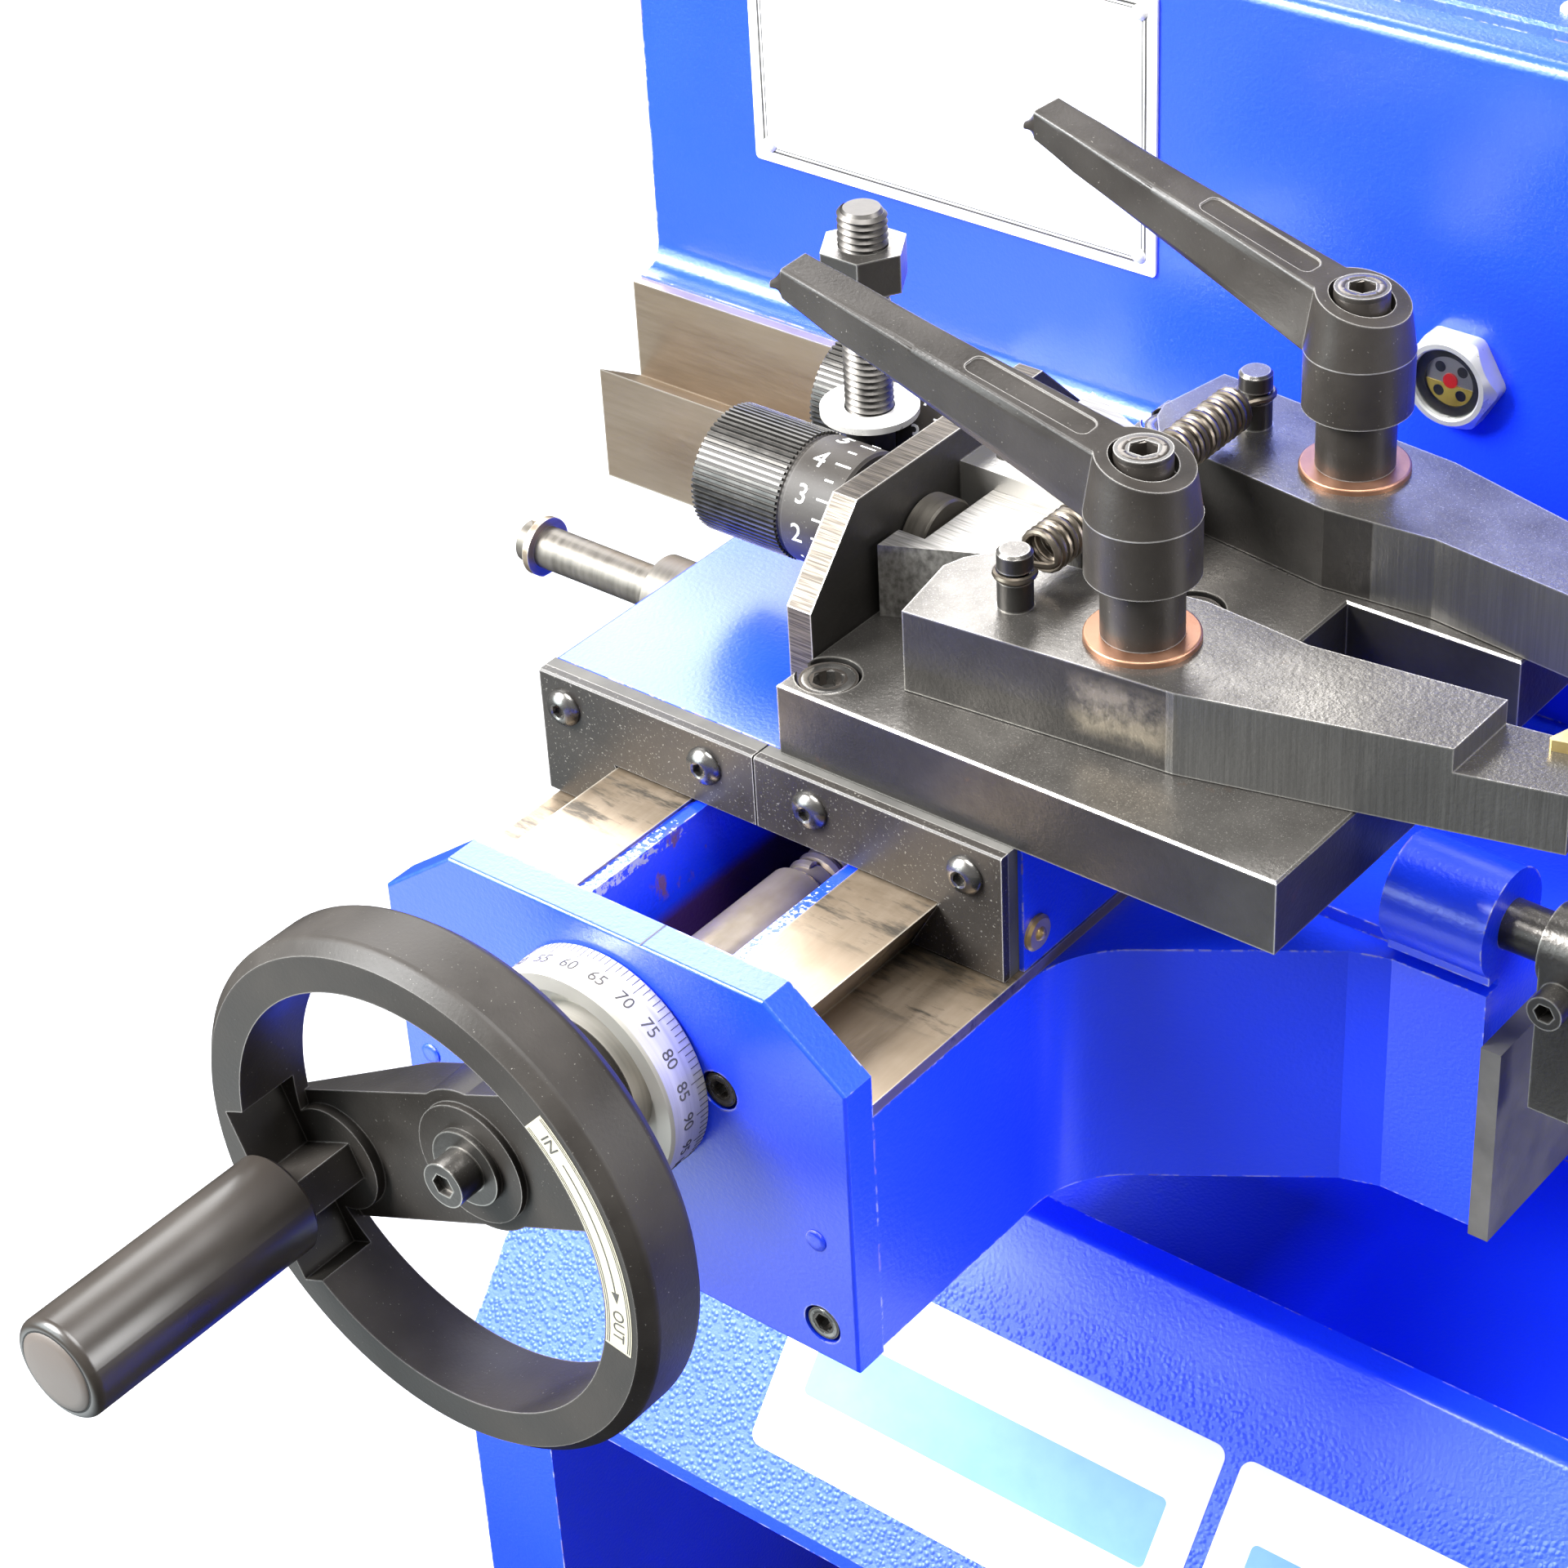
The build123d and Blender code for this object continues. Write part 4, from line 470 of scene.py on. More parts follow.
wheel_black = satin_black("satin_black_wheel", 0.95, 0.46, specular=0.23, worn=0.8)
lever_black = satin_black("satin_black_lever", 1.0, 0.34, specular=0.4, worn=0.9, bare=0.36)
wiper_black = satin_black("black_wiper_plate", 0.9, 0.4, specular=0.22, worn=0.85, specks=0.68, bare=0.4)
screw_black = satin_black("black_screw_heads", 3.0, 0.3, 0.7)
grip_black = plain_finish("gloss_black_grip", (0.022, 0.018, 0.015), (0.031, 0.026, 0.022), 0.3, grain=35, bump=0.02)
cap_grey = plain_finish("grip_end_cap", (0.075, 0.06, 0.051), (0.095, 0.077, 0.066), 0.5, bump=0.04)
rubber = plain_finish("wiper_rubber", (0.05, 0.048, 0.044), (0.1, 0.096, 0.088), 0.75, bump=0.3, bump_grain=350)
print("made the black finishes")

# %% [markdown]
# The small parts each have one clear metal or plastic: soft copper washers, a bright zinc washer, a brass oiler,
# the satin dial turned on a lathe (its streaks run round, so the noise is stretched across the axis),
# spring wire, printed plates, glass over oil, and the push buttons.

# %% Small finishes
copper = plain_finish("copper_washer", (0.26, 0.125, 0.072), (0.4, 0.22, 0.14), 0.42, 0.9, 90)
bronze = plain_finish("turned_bronze", (0.6, 0.4, 0.14), (0.82, 0.58, 0.25), 0.32, 0.8, 80)
zinc = plain_finish("bright_zinc", (0.64, 0.625, 0.59), (0.8, 0.785, 0.75), 0.28, 0.5, 70)
bezel_white = plain_finish("plated_bezel", (0.42, 0.42, 0.41), (0.54, 0.54, 0.53), 0.3, 0.5, 70)
wedge_steel = plain_finish("ground_wedge", (0.15, 0.144, 0.134), (0.4, 0.385, 0.36), 0.38, 0.7,
                           1300, (0.05, 1, 0.3), 0.25, 1300)
dial_silver = plain_finish("satin_dial", (0.54, 0.515, 0.465), (0.72, 0.69, 0.635), 0.36, 0.5,
                           40, (0.4, 14, 0.4), 0.08, 300)
plate_white = plain_finish("printed_plate", (0.62, 0.61, 0.585), (0.7, 0.69, 0.665), 0.33, 0.0, 30)
card_white = plain_finish("white_label", (0.6, 0.61, 0.62), (0.66, 0.665, 0.67), 0.3, 0.0, 25)
cream = plain_finish("cream_label", (0.38, 0.35, 0.26), (0.46, 0.43, 0.33), 0.4, 0.1, 50)
ink = plain_finish("label_ink", (0.03, 0.028, 0.026), (0.06, 0.056, 0.05), 0.5)
engraved = plain_finish("engraved_line", (0.03, 0.028, 0.025), (0.09, 0.085, 0.08), 0.6)
white_paint = plain_finish("number_paint", (0.8, 0.8, 0.78), (0.92, 0.92, 0.9), 0.45)
wire_steel = plain_finish("spring_wire", (0.085, 0.07, 0.054), (0.17, 0.145, 0.115), 0.36, 0.85, 120)
carbide = plain_finish("gold_carbide", (0.62, 0.45, 0.16), (0.8, 0.62, 0.28), 0.3, 0.9, 90)
green_plastic = plain_finish("green_button", (0.008, 0.16, 0.025), (0.012, 0.22, 0.035), 0.28)
red_plastic = plain_finish("red_button", (0.42, 0.008, 0.006), (0.5, 0.014, 0.01), 0.28)
motor_grey = plain_finish("motor_paint", (0.05, 0.053, 0.06), (0.075, 0.08, 0.088), 0.4, 0.1,
                          40, bump=0.35, bump_grain=280)
# Near black for the grip's seam, and painted shade where slots and mouths stand open.
seam_and_shade_black = plain_finish("dark_seam_and_painted_shade", (0.006, 0.006, 0.006), (0.012, 0.012, 0.012), 0.8)
spindle_steel = plain_finish("turned_spindle", (0.3, 0.29, 0.275), (0.4, 0.39, 0.37), 0.36, 0.8, 60, (1, 5, 1), 0.03)
feed_steel = plain_finish("turned_feed_screw", (0.28, 0.26, 0.23), (0.5, 0.47, 0.42), 0.3, 0.95, 60, (9, 1, 1))
dark_turned = plain_finish("dark_turned_steel", (0.075, 0.067, 0.056), (0.13, 0.118, 0.1), 0.44, 0.6, 60, (9, 1, 1))

glass = Finish("sight_glass", rough=0.04)
glass.set(Base_Color=(0.97, 0.98, 0.93, 1), Transmission_Weight=1.0, IOR=1.45)
glass.relief(glass.noise(200), 0.02, 0.0003)
sight_clear = glass.material
print("made", len(bpy.data.materials), "finishes in all")

# %% [markdown]
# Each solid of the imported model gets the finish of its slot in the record; a few get their own, because the
# same metal is ground along different directions or is milled in one place.

# %% Dress the solids
finish_of_slot = {
    "blue_paint": blue, "ground_steel": cross_iron, "black_steel": plate_steel, "satin_black": wheel_black,
    "black_plastic": grip_black, "rubber": rubber, "copper": copper, "bronze": bronze, "bright_zinc": zinc,
    "dial_silver": dial_silver, "printed_plate": plate_white, "sight_glass": sight_clear,
    "coated_carbide": carbide, "green_plastic": green_plastic, "red_plastic": red_plastic, "motor_grey": motor_grey,
}
finish_of_node = {
    "bed_way": bed_iron, "front_arm": arm_steel, "rear_arm": arm_steel, "knob_bracket": sawn_steel,
    "front_lever": lever_black, "rear_lever": lever_black, "wiper_plates": wiper_black,
    "wiper_screws": screw_black, "end_plate_screws": screw_black, "tool_plate_screws": screw_black,
    "spindle_shaft": spindle_steel, "arbor_adapters": spindle_steel, "feed_screw": feed_steel,
    "trip_rod": dark_turned, "arm_spring": wire_steel, "leadscrew": bright_iron, "sight_bezel": bezel_white,
    "front_wedge": wedge_steel, "rear_wedge": wedge_steel,
}
for subpart in frame["record"]["subparts"]:
    worn = nodes[subpart["node"]].data.materials
    worn.clear()
    worn.append(finish_of_node.get(subpart["node"], finish_of_slot[subpart["material_slot"]]))

# %% [markdown]
# Smaller parts that a close look shows in detail are made as pieces of their own. Each is built on a bench:
# shapes are added one by one as lists of corners and faces, in millimetres about their own axis. A seat says
# where that axis stands on the machine, in the tool frame. A bench has a finish and a seat of its own, and a
# shape that wears or stands on another says so.

# %% The bench
RIGHT, LEFT, BACK, FRONT, UP = (1, 0, 0), (-1, 0, 0), (0, 1, 0), (0, -1, 0), (0, 0, 1)
TO_MODEL = Matrix.Scale(MM, 4) @ Matrix.Translation(ORIGIN)
SHARP = math.radians(35)


def seat(at, along, across=RIGHT):
    """Where a part stands: its Z axis points `along`, its X axis as near `across` as a right angle allows."""
    z = Vector(along).normalized()
    x = Vector(across) - z * z.dot(Vector(across))
    x.normalize()
    stand = Matrix((x, z.cross(x), z)).transposed().to_4x4()
    stand.translation = Vector(at)
    return stand


class Bench:
    def __init__(self, name, body, slot, finish, stand):
        self.name, self.body, self.slot = name, body, slot
        self.finish, self.stand = finish, stand
        self.work, self.finishes = bmesh.new(), []

    def add(self, shape, finish=None, stand=None, lift=0):
        corners, faces = shape
        finish = finish or self.finish
        if finish not in self.finishes:
            self.finishes.append(finish)
        to_model = TO_MODEL @ (stand or self.stand) @ Matrix.Translation((0, 0, lift))
        made = [self.work.verts.new(to_model @ Vector(corner)) for corner in corners]
        for face in faces:
            self.work.faces.new([made[k] for k in face]).material_index = self.finishes.index(finish)

    def grow(self, tree, finish=None, stand=None, lift=0, **how):
        self.add(grown(tree, finish or self.finish, **how), finish, stand, lift)

    def set_at(self, points, part, finish=None, stand=None):
        self.grow(points_tree, finish, stand, corners=points, part=part)

    def done(self, *stands_for, bends=None):
        bmesh.ops.recalc_face_normals(self.work, faces=self.work.faces[:])
        mesh = bpy.data.meshes.new(self.name)
        self.work.to_mesh(mesh)
        self.work.free()
        for finish in self.finishes:
            mesh.materials.append(finish)
        mesh.shade_smooth()
        mesh.set_sharp_from_angle(angle=SHARP)
        piece = put(self.name, mesh)
        if bends:
            self.body
            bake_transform(piece)
        else:
            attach(piece, self.body)
        if stands_for:
            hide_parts(*stands_for)
        print("made", self.name, "with", len(mesh.polygons), "faces")


# %% [markdown]
# Most small parts are lofts: outlines stacked along the axis and joined ring by ring. A turned part is a loft
# of circles, a screw head ends in a hexagonal socket, and a flat plate is one outline at two heights. Borders
# are the band between two outlines.

# %% Lofted, flat and framed shapes
TURN = 2 * math.pi


def polar(radius, angle):
    return radius * math.cos(angle), radius * math.sin(angle)


def circle(radius, steps=40):
    return [polar(radius, TURN * k / steps) for k in range(steps)]


def hexagon(across_flats, steps=24):
    points = []
    for k in range(steps):
        angle = TURN * k / steps
        off_flat = (angle + math.pi / 6) % (math.pi / 3) - math.pi / 6
        points.append(polar(across_flats / 2 / math.cos(off_flat), angle))
    return points


def rounded(wide, high, radius, steps=6):
    points = []
    for quarter in range(4):
        middle_x = (wide / 2 - radius) * (1 if quarter in (0, 3) else -1)
        middle_y = (high / 2 - radius) * (1 if quarter in (0, 1) else -1)
        for k in range(steps + 1):
            x, y = polar(radius, math.radians(90 * (quarter + k / steps)))
            points.append((middle_x + x, middle_y + y))
    return points


def lofted(*sections):
    """Join outlines of equal length, given as (height, outline), and close both ends."""
    count = len(sections[0][1])
    corners = [(x, y, height) for height, outline in sections for x, y in outline]
    faces = [tuple(reversed(range(count))), tuple(range(len(corners) - count, len(corners)))]
    for ring in range(len(sections) - 1):
        for k in range(count):
            low, beside = ring * count + k, ring * count + (k + 1) % count
            faces.append((low, beside, beside + count, low + count))
    return corners, faces


def turned(*profile, steps=40):
    return lofted(*((along, circle(radius, steps)) for along, radius in profile))


def socket_head(rim, key, *depths, steps=24):
    """A turned head whose last rings go down into a hexagonal socket."""
    return lofted(*((along, circle(radius, steps)) for along, radius in rim),
                  *((along, hexagon(key, steps)) for along in depths))


def flat(outline, low, high):
    return lofted((low, outline), (high, outline))


def band(outer, inner, low, high):
    """The flat band between two outlines with the same number of points."""
    count = len(outer)
    corners = [(x, y, height) for height in (low, high) for outline in (outer, inner) for x, y in outline]
    faces = []
    for k in range(count):
        rim, next_rim = k, (k + 1) % count
        hole, next_hole = rim + count, next_rim + count
        faces += [(rim, hole, next_hole, next_rim), (rim, next_rim, next_rim + 2 * count, rim + 2 * count),
                  (hole, hole + 2 * count, next_hole + 2 * count, next_hole),
                  (rim + 2 * count, next_rim + 2 * count, next_hole + 2 * count, hole + 2 * count)]
    return corners, faces


def grid(xs, ys, z=0):
    return [(x, y, z) for x in xs for y in ys]


print("a turned ring of one step has", len(turned((0, 1), (1, 1))[1]), "faces")


# %% [markdown]
# Lettering is a font curve turned to mesh and scaled to its height. To go round a drum or a rim it is bent: a
# small rule turns each corner into a radius, an angle and a place along the axis.

# %% Lettering
def lettering(words, tall, thick):
    font = bpy.data.curves.new("lettering", "FONT")
    font.body, font.extrude, font.resolution_u = words, 0.05, 3
    holder = put("lettering", font)
    cut = bpy.data.meshes.new_from_object(holder.evaluated_get(bpy.context.evaluated_depsgraph_get()))
    bpy.data.objects.remove(holder)
    work = bmesh.new()
    work.from_mesh(cut)
    bmesh.ops.remove_doubles(work, verts=work.verts[:], dist=0.0005)
    work.verts.index_update()
    xs, ys = [v.co.x for v in work.verts], [v.co.y for v in work.verts]
    size = tall / (max(ys) - min(ys))
    middle_x, middle_y = (max(xs) + min(xs)) / 2, (max(ys) + min(ys)) / 2
    corners = [((v.co.x - middle_x) * size, (v.co.y - middle_y) * size, thick if v.co.z > 0 else 0.0)
               for v in work.verts]
    faces = [tuple(v.index for v in face.verts) for face in work.faces]
    work.free()
    bpy.data.meshes.remove(cut)
    return corners, faces


def bent(shape, rule):
    corners, faces = shape
    rolled = [rule(*corner) for corner in corners]
    return [(*polar(radius, angle), along) for radius, angle, along in rolled], faces


print("an N has", len(lettering("N", 5, 0.1)[1]), "faces")


# %% [markdown]
# What repeats or follows a path is grown by Geometry Nodes: threads, knurls, scale marks, screws set at marked
# points and the coiled spring. Each tree has named sizes as inputs, and what it grows is read back as a plain
# shape for the bench.

# %% Growing shapes from trees
def new_tree(name, **sizes):
    tree = bpy.data.node_groups.new(name, "GeometryNodeTree")
    tree.interface.new_socket("Geometry", in_out="INPUT", socket_type="NodeSocketGeometry")
    tree.interface.new_socket("Geometry", in_out="OUTPUT", socket_type="NodeSocketGeometry")
    for size, value in sizes.items():
        kind = "NodeSocketInt" if isinstance(value, int) else "NodeSocketFloat"
        tree.interface.new_socket(size, in_out="INPUT", socket_type=kind).default_value = value
    tree.interface.new_socket("Part", in_out="INPUT", socket_type="NodeSocketObject")
    tree.interface.new_socket("Material", in_out="INPUT", socket_type="NodeSocketMaterial")
    return tree, hang(tree, "NodeGroupInput").outputs


def sum_of(tree, operation, a, b):
    return tap(tree, "ShaderNodeMath", {0: a, 1: b}, operation=operation)


def swept(tree, curve, sides, radius):
    """A ring with so many sides, swept along a curve and capped."""
    ring = tap(tree, "GeometryNodeCurvePrimitiveCircle", {"Resolution": sides, "Radius": radius})
    return tap(tree, "GeometryNodeCurveToMesh", {"Curve": curve, "Profile Curve": ring, "Fill Caps": True})


def close_tree(tree, geometry, size):
    real = tap(tree, "GeometryNodeRealizeInstances", {"Geometry": geometry})
    worn = tap(tree, "GeometryNodeSetMaterial", {"Geometry": real, "Material": size["Material"]})
    hang(tree, "NodeGroupOutput", {"Geometry": worn})
    print(tree.name, "has", len(tree.nodes), "nodes")


def as_object(corners, edges, faces):
    mesh = bpy.data.meshes.new("seed")
    mesh.from_pydata(corners, edges, faces)
    return put("seed", mesh)


def grown(tree, finish, corners=(), edges=(), part=None, **sizes):
    """Grow a tree on a seed of corners and edges, and read the result back as corners and faces."""
    seed = as_object(corners, edges, ())
    helper = as_object(part[0], (), part[1]) if part else None
    growth = seed.modifiers.new("growth", "NODES")
    growth.node_group = tree
    values = {**sizes, "Material": finish, "Part": helper}
    for socket in tree.interface.items_tree:
        if socket.in_out == "INPUT" and values.get(socket.name) is not None:
            growth[socket.identifier] = values[socket.name]
    mesh = bpy.data.meshes.new_from_object(seed.evaluated_get(bpy.context.evaluated_depsgraph_get()))
    shape = [tuple(v.co) for v in mesh.vertices], [tuple(p.vertices) for p in mesh.polygons]
    for spent in filter(None, (seed, helper)):
        bpy.data.objects.remove(spent)
    bpy.data.meshes.remove(mesh)
    return shape


# %% [markdown]
# A screw thread is a ridge wound round a core. The tree sweeps a small ring along a spiral; with four sides
# the ridge has straight flanks, with more it is rounded like a coarse, worn thread.

# %% Thread tree
AROUND = 36
thread_tree, size = new_tree("screw_thread", Radius=7.0, Pitch=2.0, Turns=10.0, Sides=4)
half_pitch = sum_of(thread_tree, "MULTIPLY", size["Pitch"], 0.5)
pitch_radius = sum_of(thread_tree, "SUBTRACT", size["Radius"], half_pitch)
thread_long = sum_of(thread_tree, "MULTIPLY", size["Pitch"], size["Turns"])
spiral = tap(thread_tree, "GeometryNodeCurveSpiral",
             {"Resolution": AROUND, "Rotations": size["Turns"], "Start Radius": pitch_radius,
              "End Radius": pitch_radius, "Height": thread_long})
upright = tap(thread_tree, "GeometryNodeSetCurveNormal", {"Curve": spiral}, mode="Z_UP")
ridge = swept(thread_tree, upright, size["Sides"], half_pitch)
core = tap(thread_tree, "GeometryNodeMeshCylinder",
           {"Vertices": AROUND, "Radius": pitch_radius, "Depth": thread_long})
half_up = tap(thread_tree, "ShaderNodeCombineXYZ", {"Z": sum_of(thread_tree, "MULTIPLY", thread_long, 0.5)})
stood = tap(thread_tree, "GeometryNodeTransform", {"Geometry": core, "Translation": half_up})
both = hang(thread_tree, "GeometryNodeJoinGeometry", {"Geometry": ridge})
plug(thread_tree, both.inputs[0], stood)
close_tree(thread_tree, both.outputs[0], size)

# %% [markdown]
# A scale is a ring of thin marks. Every so many marks one is longer, so the tree stretches each mark by its
# place in the ring. The same tree grows the ridges of a knurl and the cooling fins of the motor, which are only
# deeper and longer marks.

# %% Ring-of-marks tree
marks_tree, size = new_tree("ring_of_marks", Count=100, Radius=30.0, Wide=0.4, Deep=0.2, Long=3.0, Extra=0.0, Every=2)
ring = tap(marks_tree, "GeometryNodeMeshCircle", {"Vertices": size["Count"], "Radius": size["Radius"]})
index = tap(marks_tree, "GeometryNodeInputIndex")
angle = sum_of(marks_tree, "DIVIDE", sum_of(marks_tree, "MULTIPLY", index, TURN), size["Count"])
spin = tap(marks_tree, "ShaderNodeCombineXYZ", {"Z": angle})
rotation = tap(marks_tree, "FunctionNodeEulerToRotation", {"Euler": spin})
main = sum_of(marks_tree, "LESS_THAN", sum_of(marks_tree, "MODULO", index, size["Every"]), 0.5)
reach = sum_of(marks_tree, "ADD", size["Long"], sum_of(marks_tree, "MULTIPLY", main, size["Extra"]))
stretch = tap(marks_tree, "ShaderNodeCombineXYZ", {"X": size["Deep"], "Y": size["Wide"], "Z": reach})
mark = tap(marks_tree, "GeometryNodeMeshCube", {"Size": (1, 1, 1)})
footed = tap(marks_tree, "GeometryNodeTransform", {"Geometry": mark, "Translation": (0, 0, 0.5)})
set_round = tap(marks_tree, "GeometryNodeInstanceOnPoints",
                {"Points": ring, "Instance": footed, "Rotation": rotation, "Scale": stretch})
close_tree(marks_tree, set_round, size)

# %% [markdown]
# Screws and rivets of one kind are a single shape set at every marked point. Wire is a ring swept along a
# path of points. Both trees take their points from the seed they grow on.

# %% Set-at-points tree and wire tree
points_tree, size = new_tree("set_at_points")
part = tap(points_tree, "GeometryNodeObjectInfo", {"Object": size["Part"]}, "Geometry")
set_there = tap(points_tree, "GeometryNodeInstanceOnPoints", {"Points": size["Geometry"], "Instance": part})
close_tree(points_tree, set_there, size)

wire_tree, size = new_tree("wire_along_path", Radius=1.0, Sides=8)
path = tap(wire_tree, "GeometryNodeMeshToCurve", {"Mesh": size["Geometry"]})
close_tree(wire_tree, swept(wire_tree, path, size["Sides"], size["Radius"]), size)

# %% [markdown]
# Each clamping wedge is driven by a graduated knob: a knurled black drum, a ring with ten engraved and
# white-filled numbers, a plain sleeve, and a screw that ends in the wedge. The numbers are bent round the ring,
# read along the axis, and stand a tenth of a millimetre proud so that they stay crisp.

# %% Graduated knobs
knob_black = satin_black("black_knob_ring", 1.4, 0.5, specular=0.22)
knurl_steel = plain_finish("worn_knurl", (0.032, 0.031, 0.029), (0.075, 0.071, 0.066), 0.38, 0.8, 200)
KNOB_LEFT, KNOB_Z, KNOB_RING, NUMBERS_AT = -68.0, 34.5, 18.1, 38


def graduated_knob(name, y, two_at):
    knob = Bench(name + "_graduated", name, "black_steel", knob_black, seat((KNOB_LEFT, y, KNOB_Z), RIGHT, UP))
    knob.add(turned((0, 16.4), (1.1, 17.5), (30.6, 17.5), (31.2, 17.0), steps=72))
    knob.grow(marks_tree, knurl_steel, lift=1.3, Count=66, Radius=17.9, Wide=0.75, Deep=1.2, Long=29.2)
    knob.add(turned((31.0, 17.2), (32.2, 17.2), (32.6, KNOB_RING), (49.2, KNOB_RING), (50, 17.3), steps=72))
    knob.add(turned((49.5, 10), (59.7, 10)), dark_turned)
    knob.add(turned((68.3, 11.9), (68.9, 12.5), (75.4, 12.5), (76, 11.9)), dark_turned)
    knob.grow(thread_tree, dark_turned, lift=59.5, Radius=5.0, Pitch=1.5, Turns=25.5)
    for number in range(10):
        start = math.radians(90 - (two_at + 36 * (number - 2)))
        digit = bent(lettering(str(number), 5.6, 0.12),
                     lambda u, v, w: (KNOB_RING + w, start - v / KNOB_RING, NUMBERS_AT + u))
        knob.add(digit, white_paint)
    scale_stand = knob.stand @ Matrix.Translation((0, 0, 43.2)) @ Matrix.Rotation(math.radians(90 - two_at), 4, "Z")
    knob.grow(marks_tree, white_paint, scale_stand, Count=20, Radius=KNOB_RING, Wide=0.55, Long=2.8, Extra=2.2)
    knob.done(name)


graduated_knob("front_knob", 65.2, -1)
graduated_knob("rear_knob", 118.2, -20)

# %% [markdown]
# The stud that stands behind the arms is plain threaded rod with a chamfered end. Its foot goes down into the
# tool plate, its head carries a nut, and a loose bright washer lies round it.

# %% Clamp stud
rod_grey = plain_finish("threaded_rod", (0.055, 0.051, 0.047), (0.115, 0.108, 0.1), 0.42, 0.8, 150)
stud = Bench("threaded_stud", "cross_slide", "black_steel", rod_grey, seat((-38.2, 91.7, -22), UP))
stud.add(turned((0, 6.9), (70, 6.9)))
stud.grow(thread_tree, lift=69, Radius=7.0, Pitch=2.0, Turns=31.5)
stud.add(turned((131, 6.4), (133.2, 5.2)))
stud.done("clamp_stud")

# %% [markdown]
# The cross screw has a plain ground shank where it runs in the arm, a short neck and then a coarse, worn
# thread. The feed screw under the bed is finer. Both threads keep the pitch that the drive was given.

# %% Cross screw and feed screw
SCREW_Z = -52.5
cross = Bench("cross_screw_thread", "handwheel", "ground_steel", bright_iron, seat((0, 0, SCREW_Z), BACK, UP))
cross.add(turned((-127.5, 8), (-63.7, 8)))
cross.add(turned((-63.7, 11.2), (4.4, 11.2), (6, 10.0)))
cross.add(turned((5, 8.6), (12, 8.6)))
cross.grow(thread_tree, lift=11, Radius=10.0, Pitch=4.0, Turns=34.5, Sides=8)
cross.add(turned((148, 8.6), (150, 7.0)))
cross.done("leadscrew")

feed = Bench("feed_screw_thread", "feed_screw", "ground_steel", feed_steel, seat((0, 125, -108), RIGHT, UP))
feed_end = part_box("feed_screw")[1][0] / MM - ORIGIN.x
feed.add(turned((15, 6.2), (17, 7.0), (18, 7.0)))
feed.grow(thread_tree, lift=17, Radius=9.0, Pitch=4.0, Turns=88.0, Sides=8)
feed.add(turned((368, 9), (400, 9)))
feed.add(turned((400.3, 13), (400.8, 13.5), (405.5, 13.5), (406, 13)))
feed.add(turned((399, 6.8), (feed_end, 6.8)))
feed.done("feed_screw")

# %% [markdown]
# One tension spring pulls the two arms together against their wedges. It is wound from two-millimetre wire, and
# each end is bent into a hook that lies in the groove of a post. The path is worked out as points: round the
# post, across to the coil, and then round and round; the other end is the same turned by half a turn. The
# spring is made as two halves, a front and a rear.

# %% Arm spring
POST_X, POST_Y, GROOVE_Z = 52.0, 35.4, 56.1
POST_SPAN, POST_R, WIRE_R = 112.6, 7, 1.0
HOOK_R, HOOK_STEPS, COIL_R, COIL_FROM, COIL_TURNS, COIL_STEPS = 5.0, 26, 5.7, 11.0, 35.5, 16


def spring_path():
    turns = [math.radians(40 - 10 * k) for k in range(HOOK_STEPS + 1)]
    hook = [Vector((*polar(HOOK_R, angle), 0)) for angle in turns]
    leave = Vector((math.sin(turns[-1]), -math.cos(turns[-1]), 0)) * 12
    begin, arrive = Vector((COIL_R, COIL_FROM, 0)), Vector((0, 2, 12))
    for k in range(1, 9):
        t = k / 9
        hook.append(hook[HOOK_STEPS] * (2 * t**3 - 3 * t**2 + 1) + leave * (t**3 - 2 * t**2 + t)
                    + begin * (3 * t**2 - 2 * t**3) + arrive * (t**3 - t**2))
    steps = int(COIL_TURNS * COIL_STEPS)
    coil = []
    for k in range(steps + 1):
        x, z = polar(COIL_R, TURN * k / COIL_STEPS)
        coil.append(Vector((x, COIL_FROM + (POST_SPAN - 2 * COIL_FROM) * k / steps, z)))
    other = [Vector((-p.x, POST_SPAN - p.y, p.z)) for p in reversed(hook)]
    return hook + coil + other


spring_points = spring_path()
middle = len(spring_points) // 2
spring_stand = Matrix.Translation((POST_X, POST_Y, GROOVE_Z))
still = place(POST_X, POST_Y + POST_SPAN / 2, GROOVE_Z)
for side, half, post_y in (("front", spring_points[:middle + 1], POST_Y + POST_R),
                           ("rear", spring_points[middle:], POST_Y + POST_SPAN - POST_R)):
    spring = Bench(f"tension_spring_{side}", f"{side}_arm", "black_steel", wire_steel, spring_stand)
    spring.grow(wire_tree, corners=half, edges=[(k, k + 1) for k in range(len(half) - 1)], Radius=WIRE_R, Sides=8)
    spring.done("arm_spring", bends=("cross_slide", place(POST_X, post_y, GROOVE_Z), still))

# %% [markdown]
# The dial is graduated in a hundred and ten divisions with a number at every fifth. Lines and numbers are cut
# into the satin metal and filled with dark paint. The lines start at the edge nearest the arm, where an index
# line on the end plate is read against them.

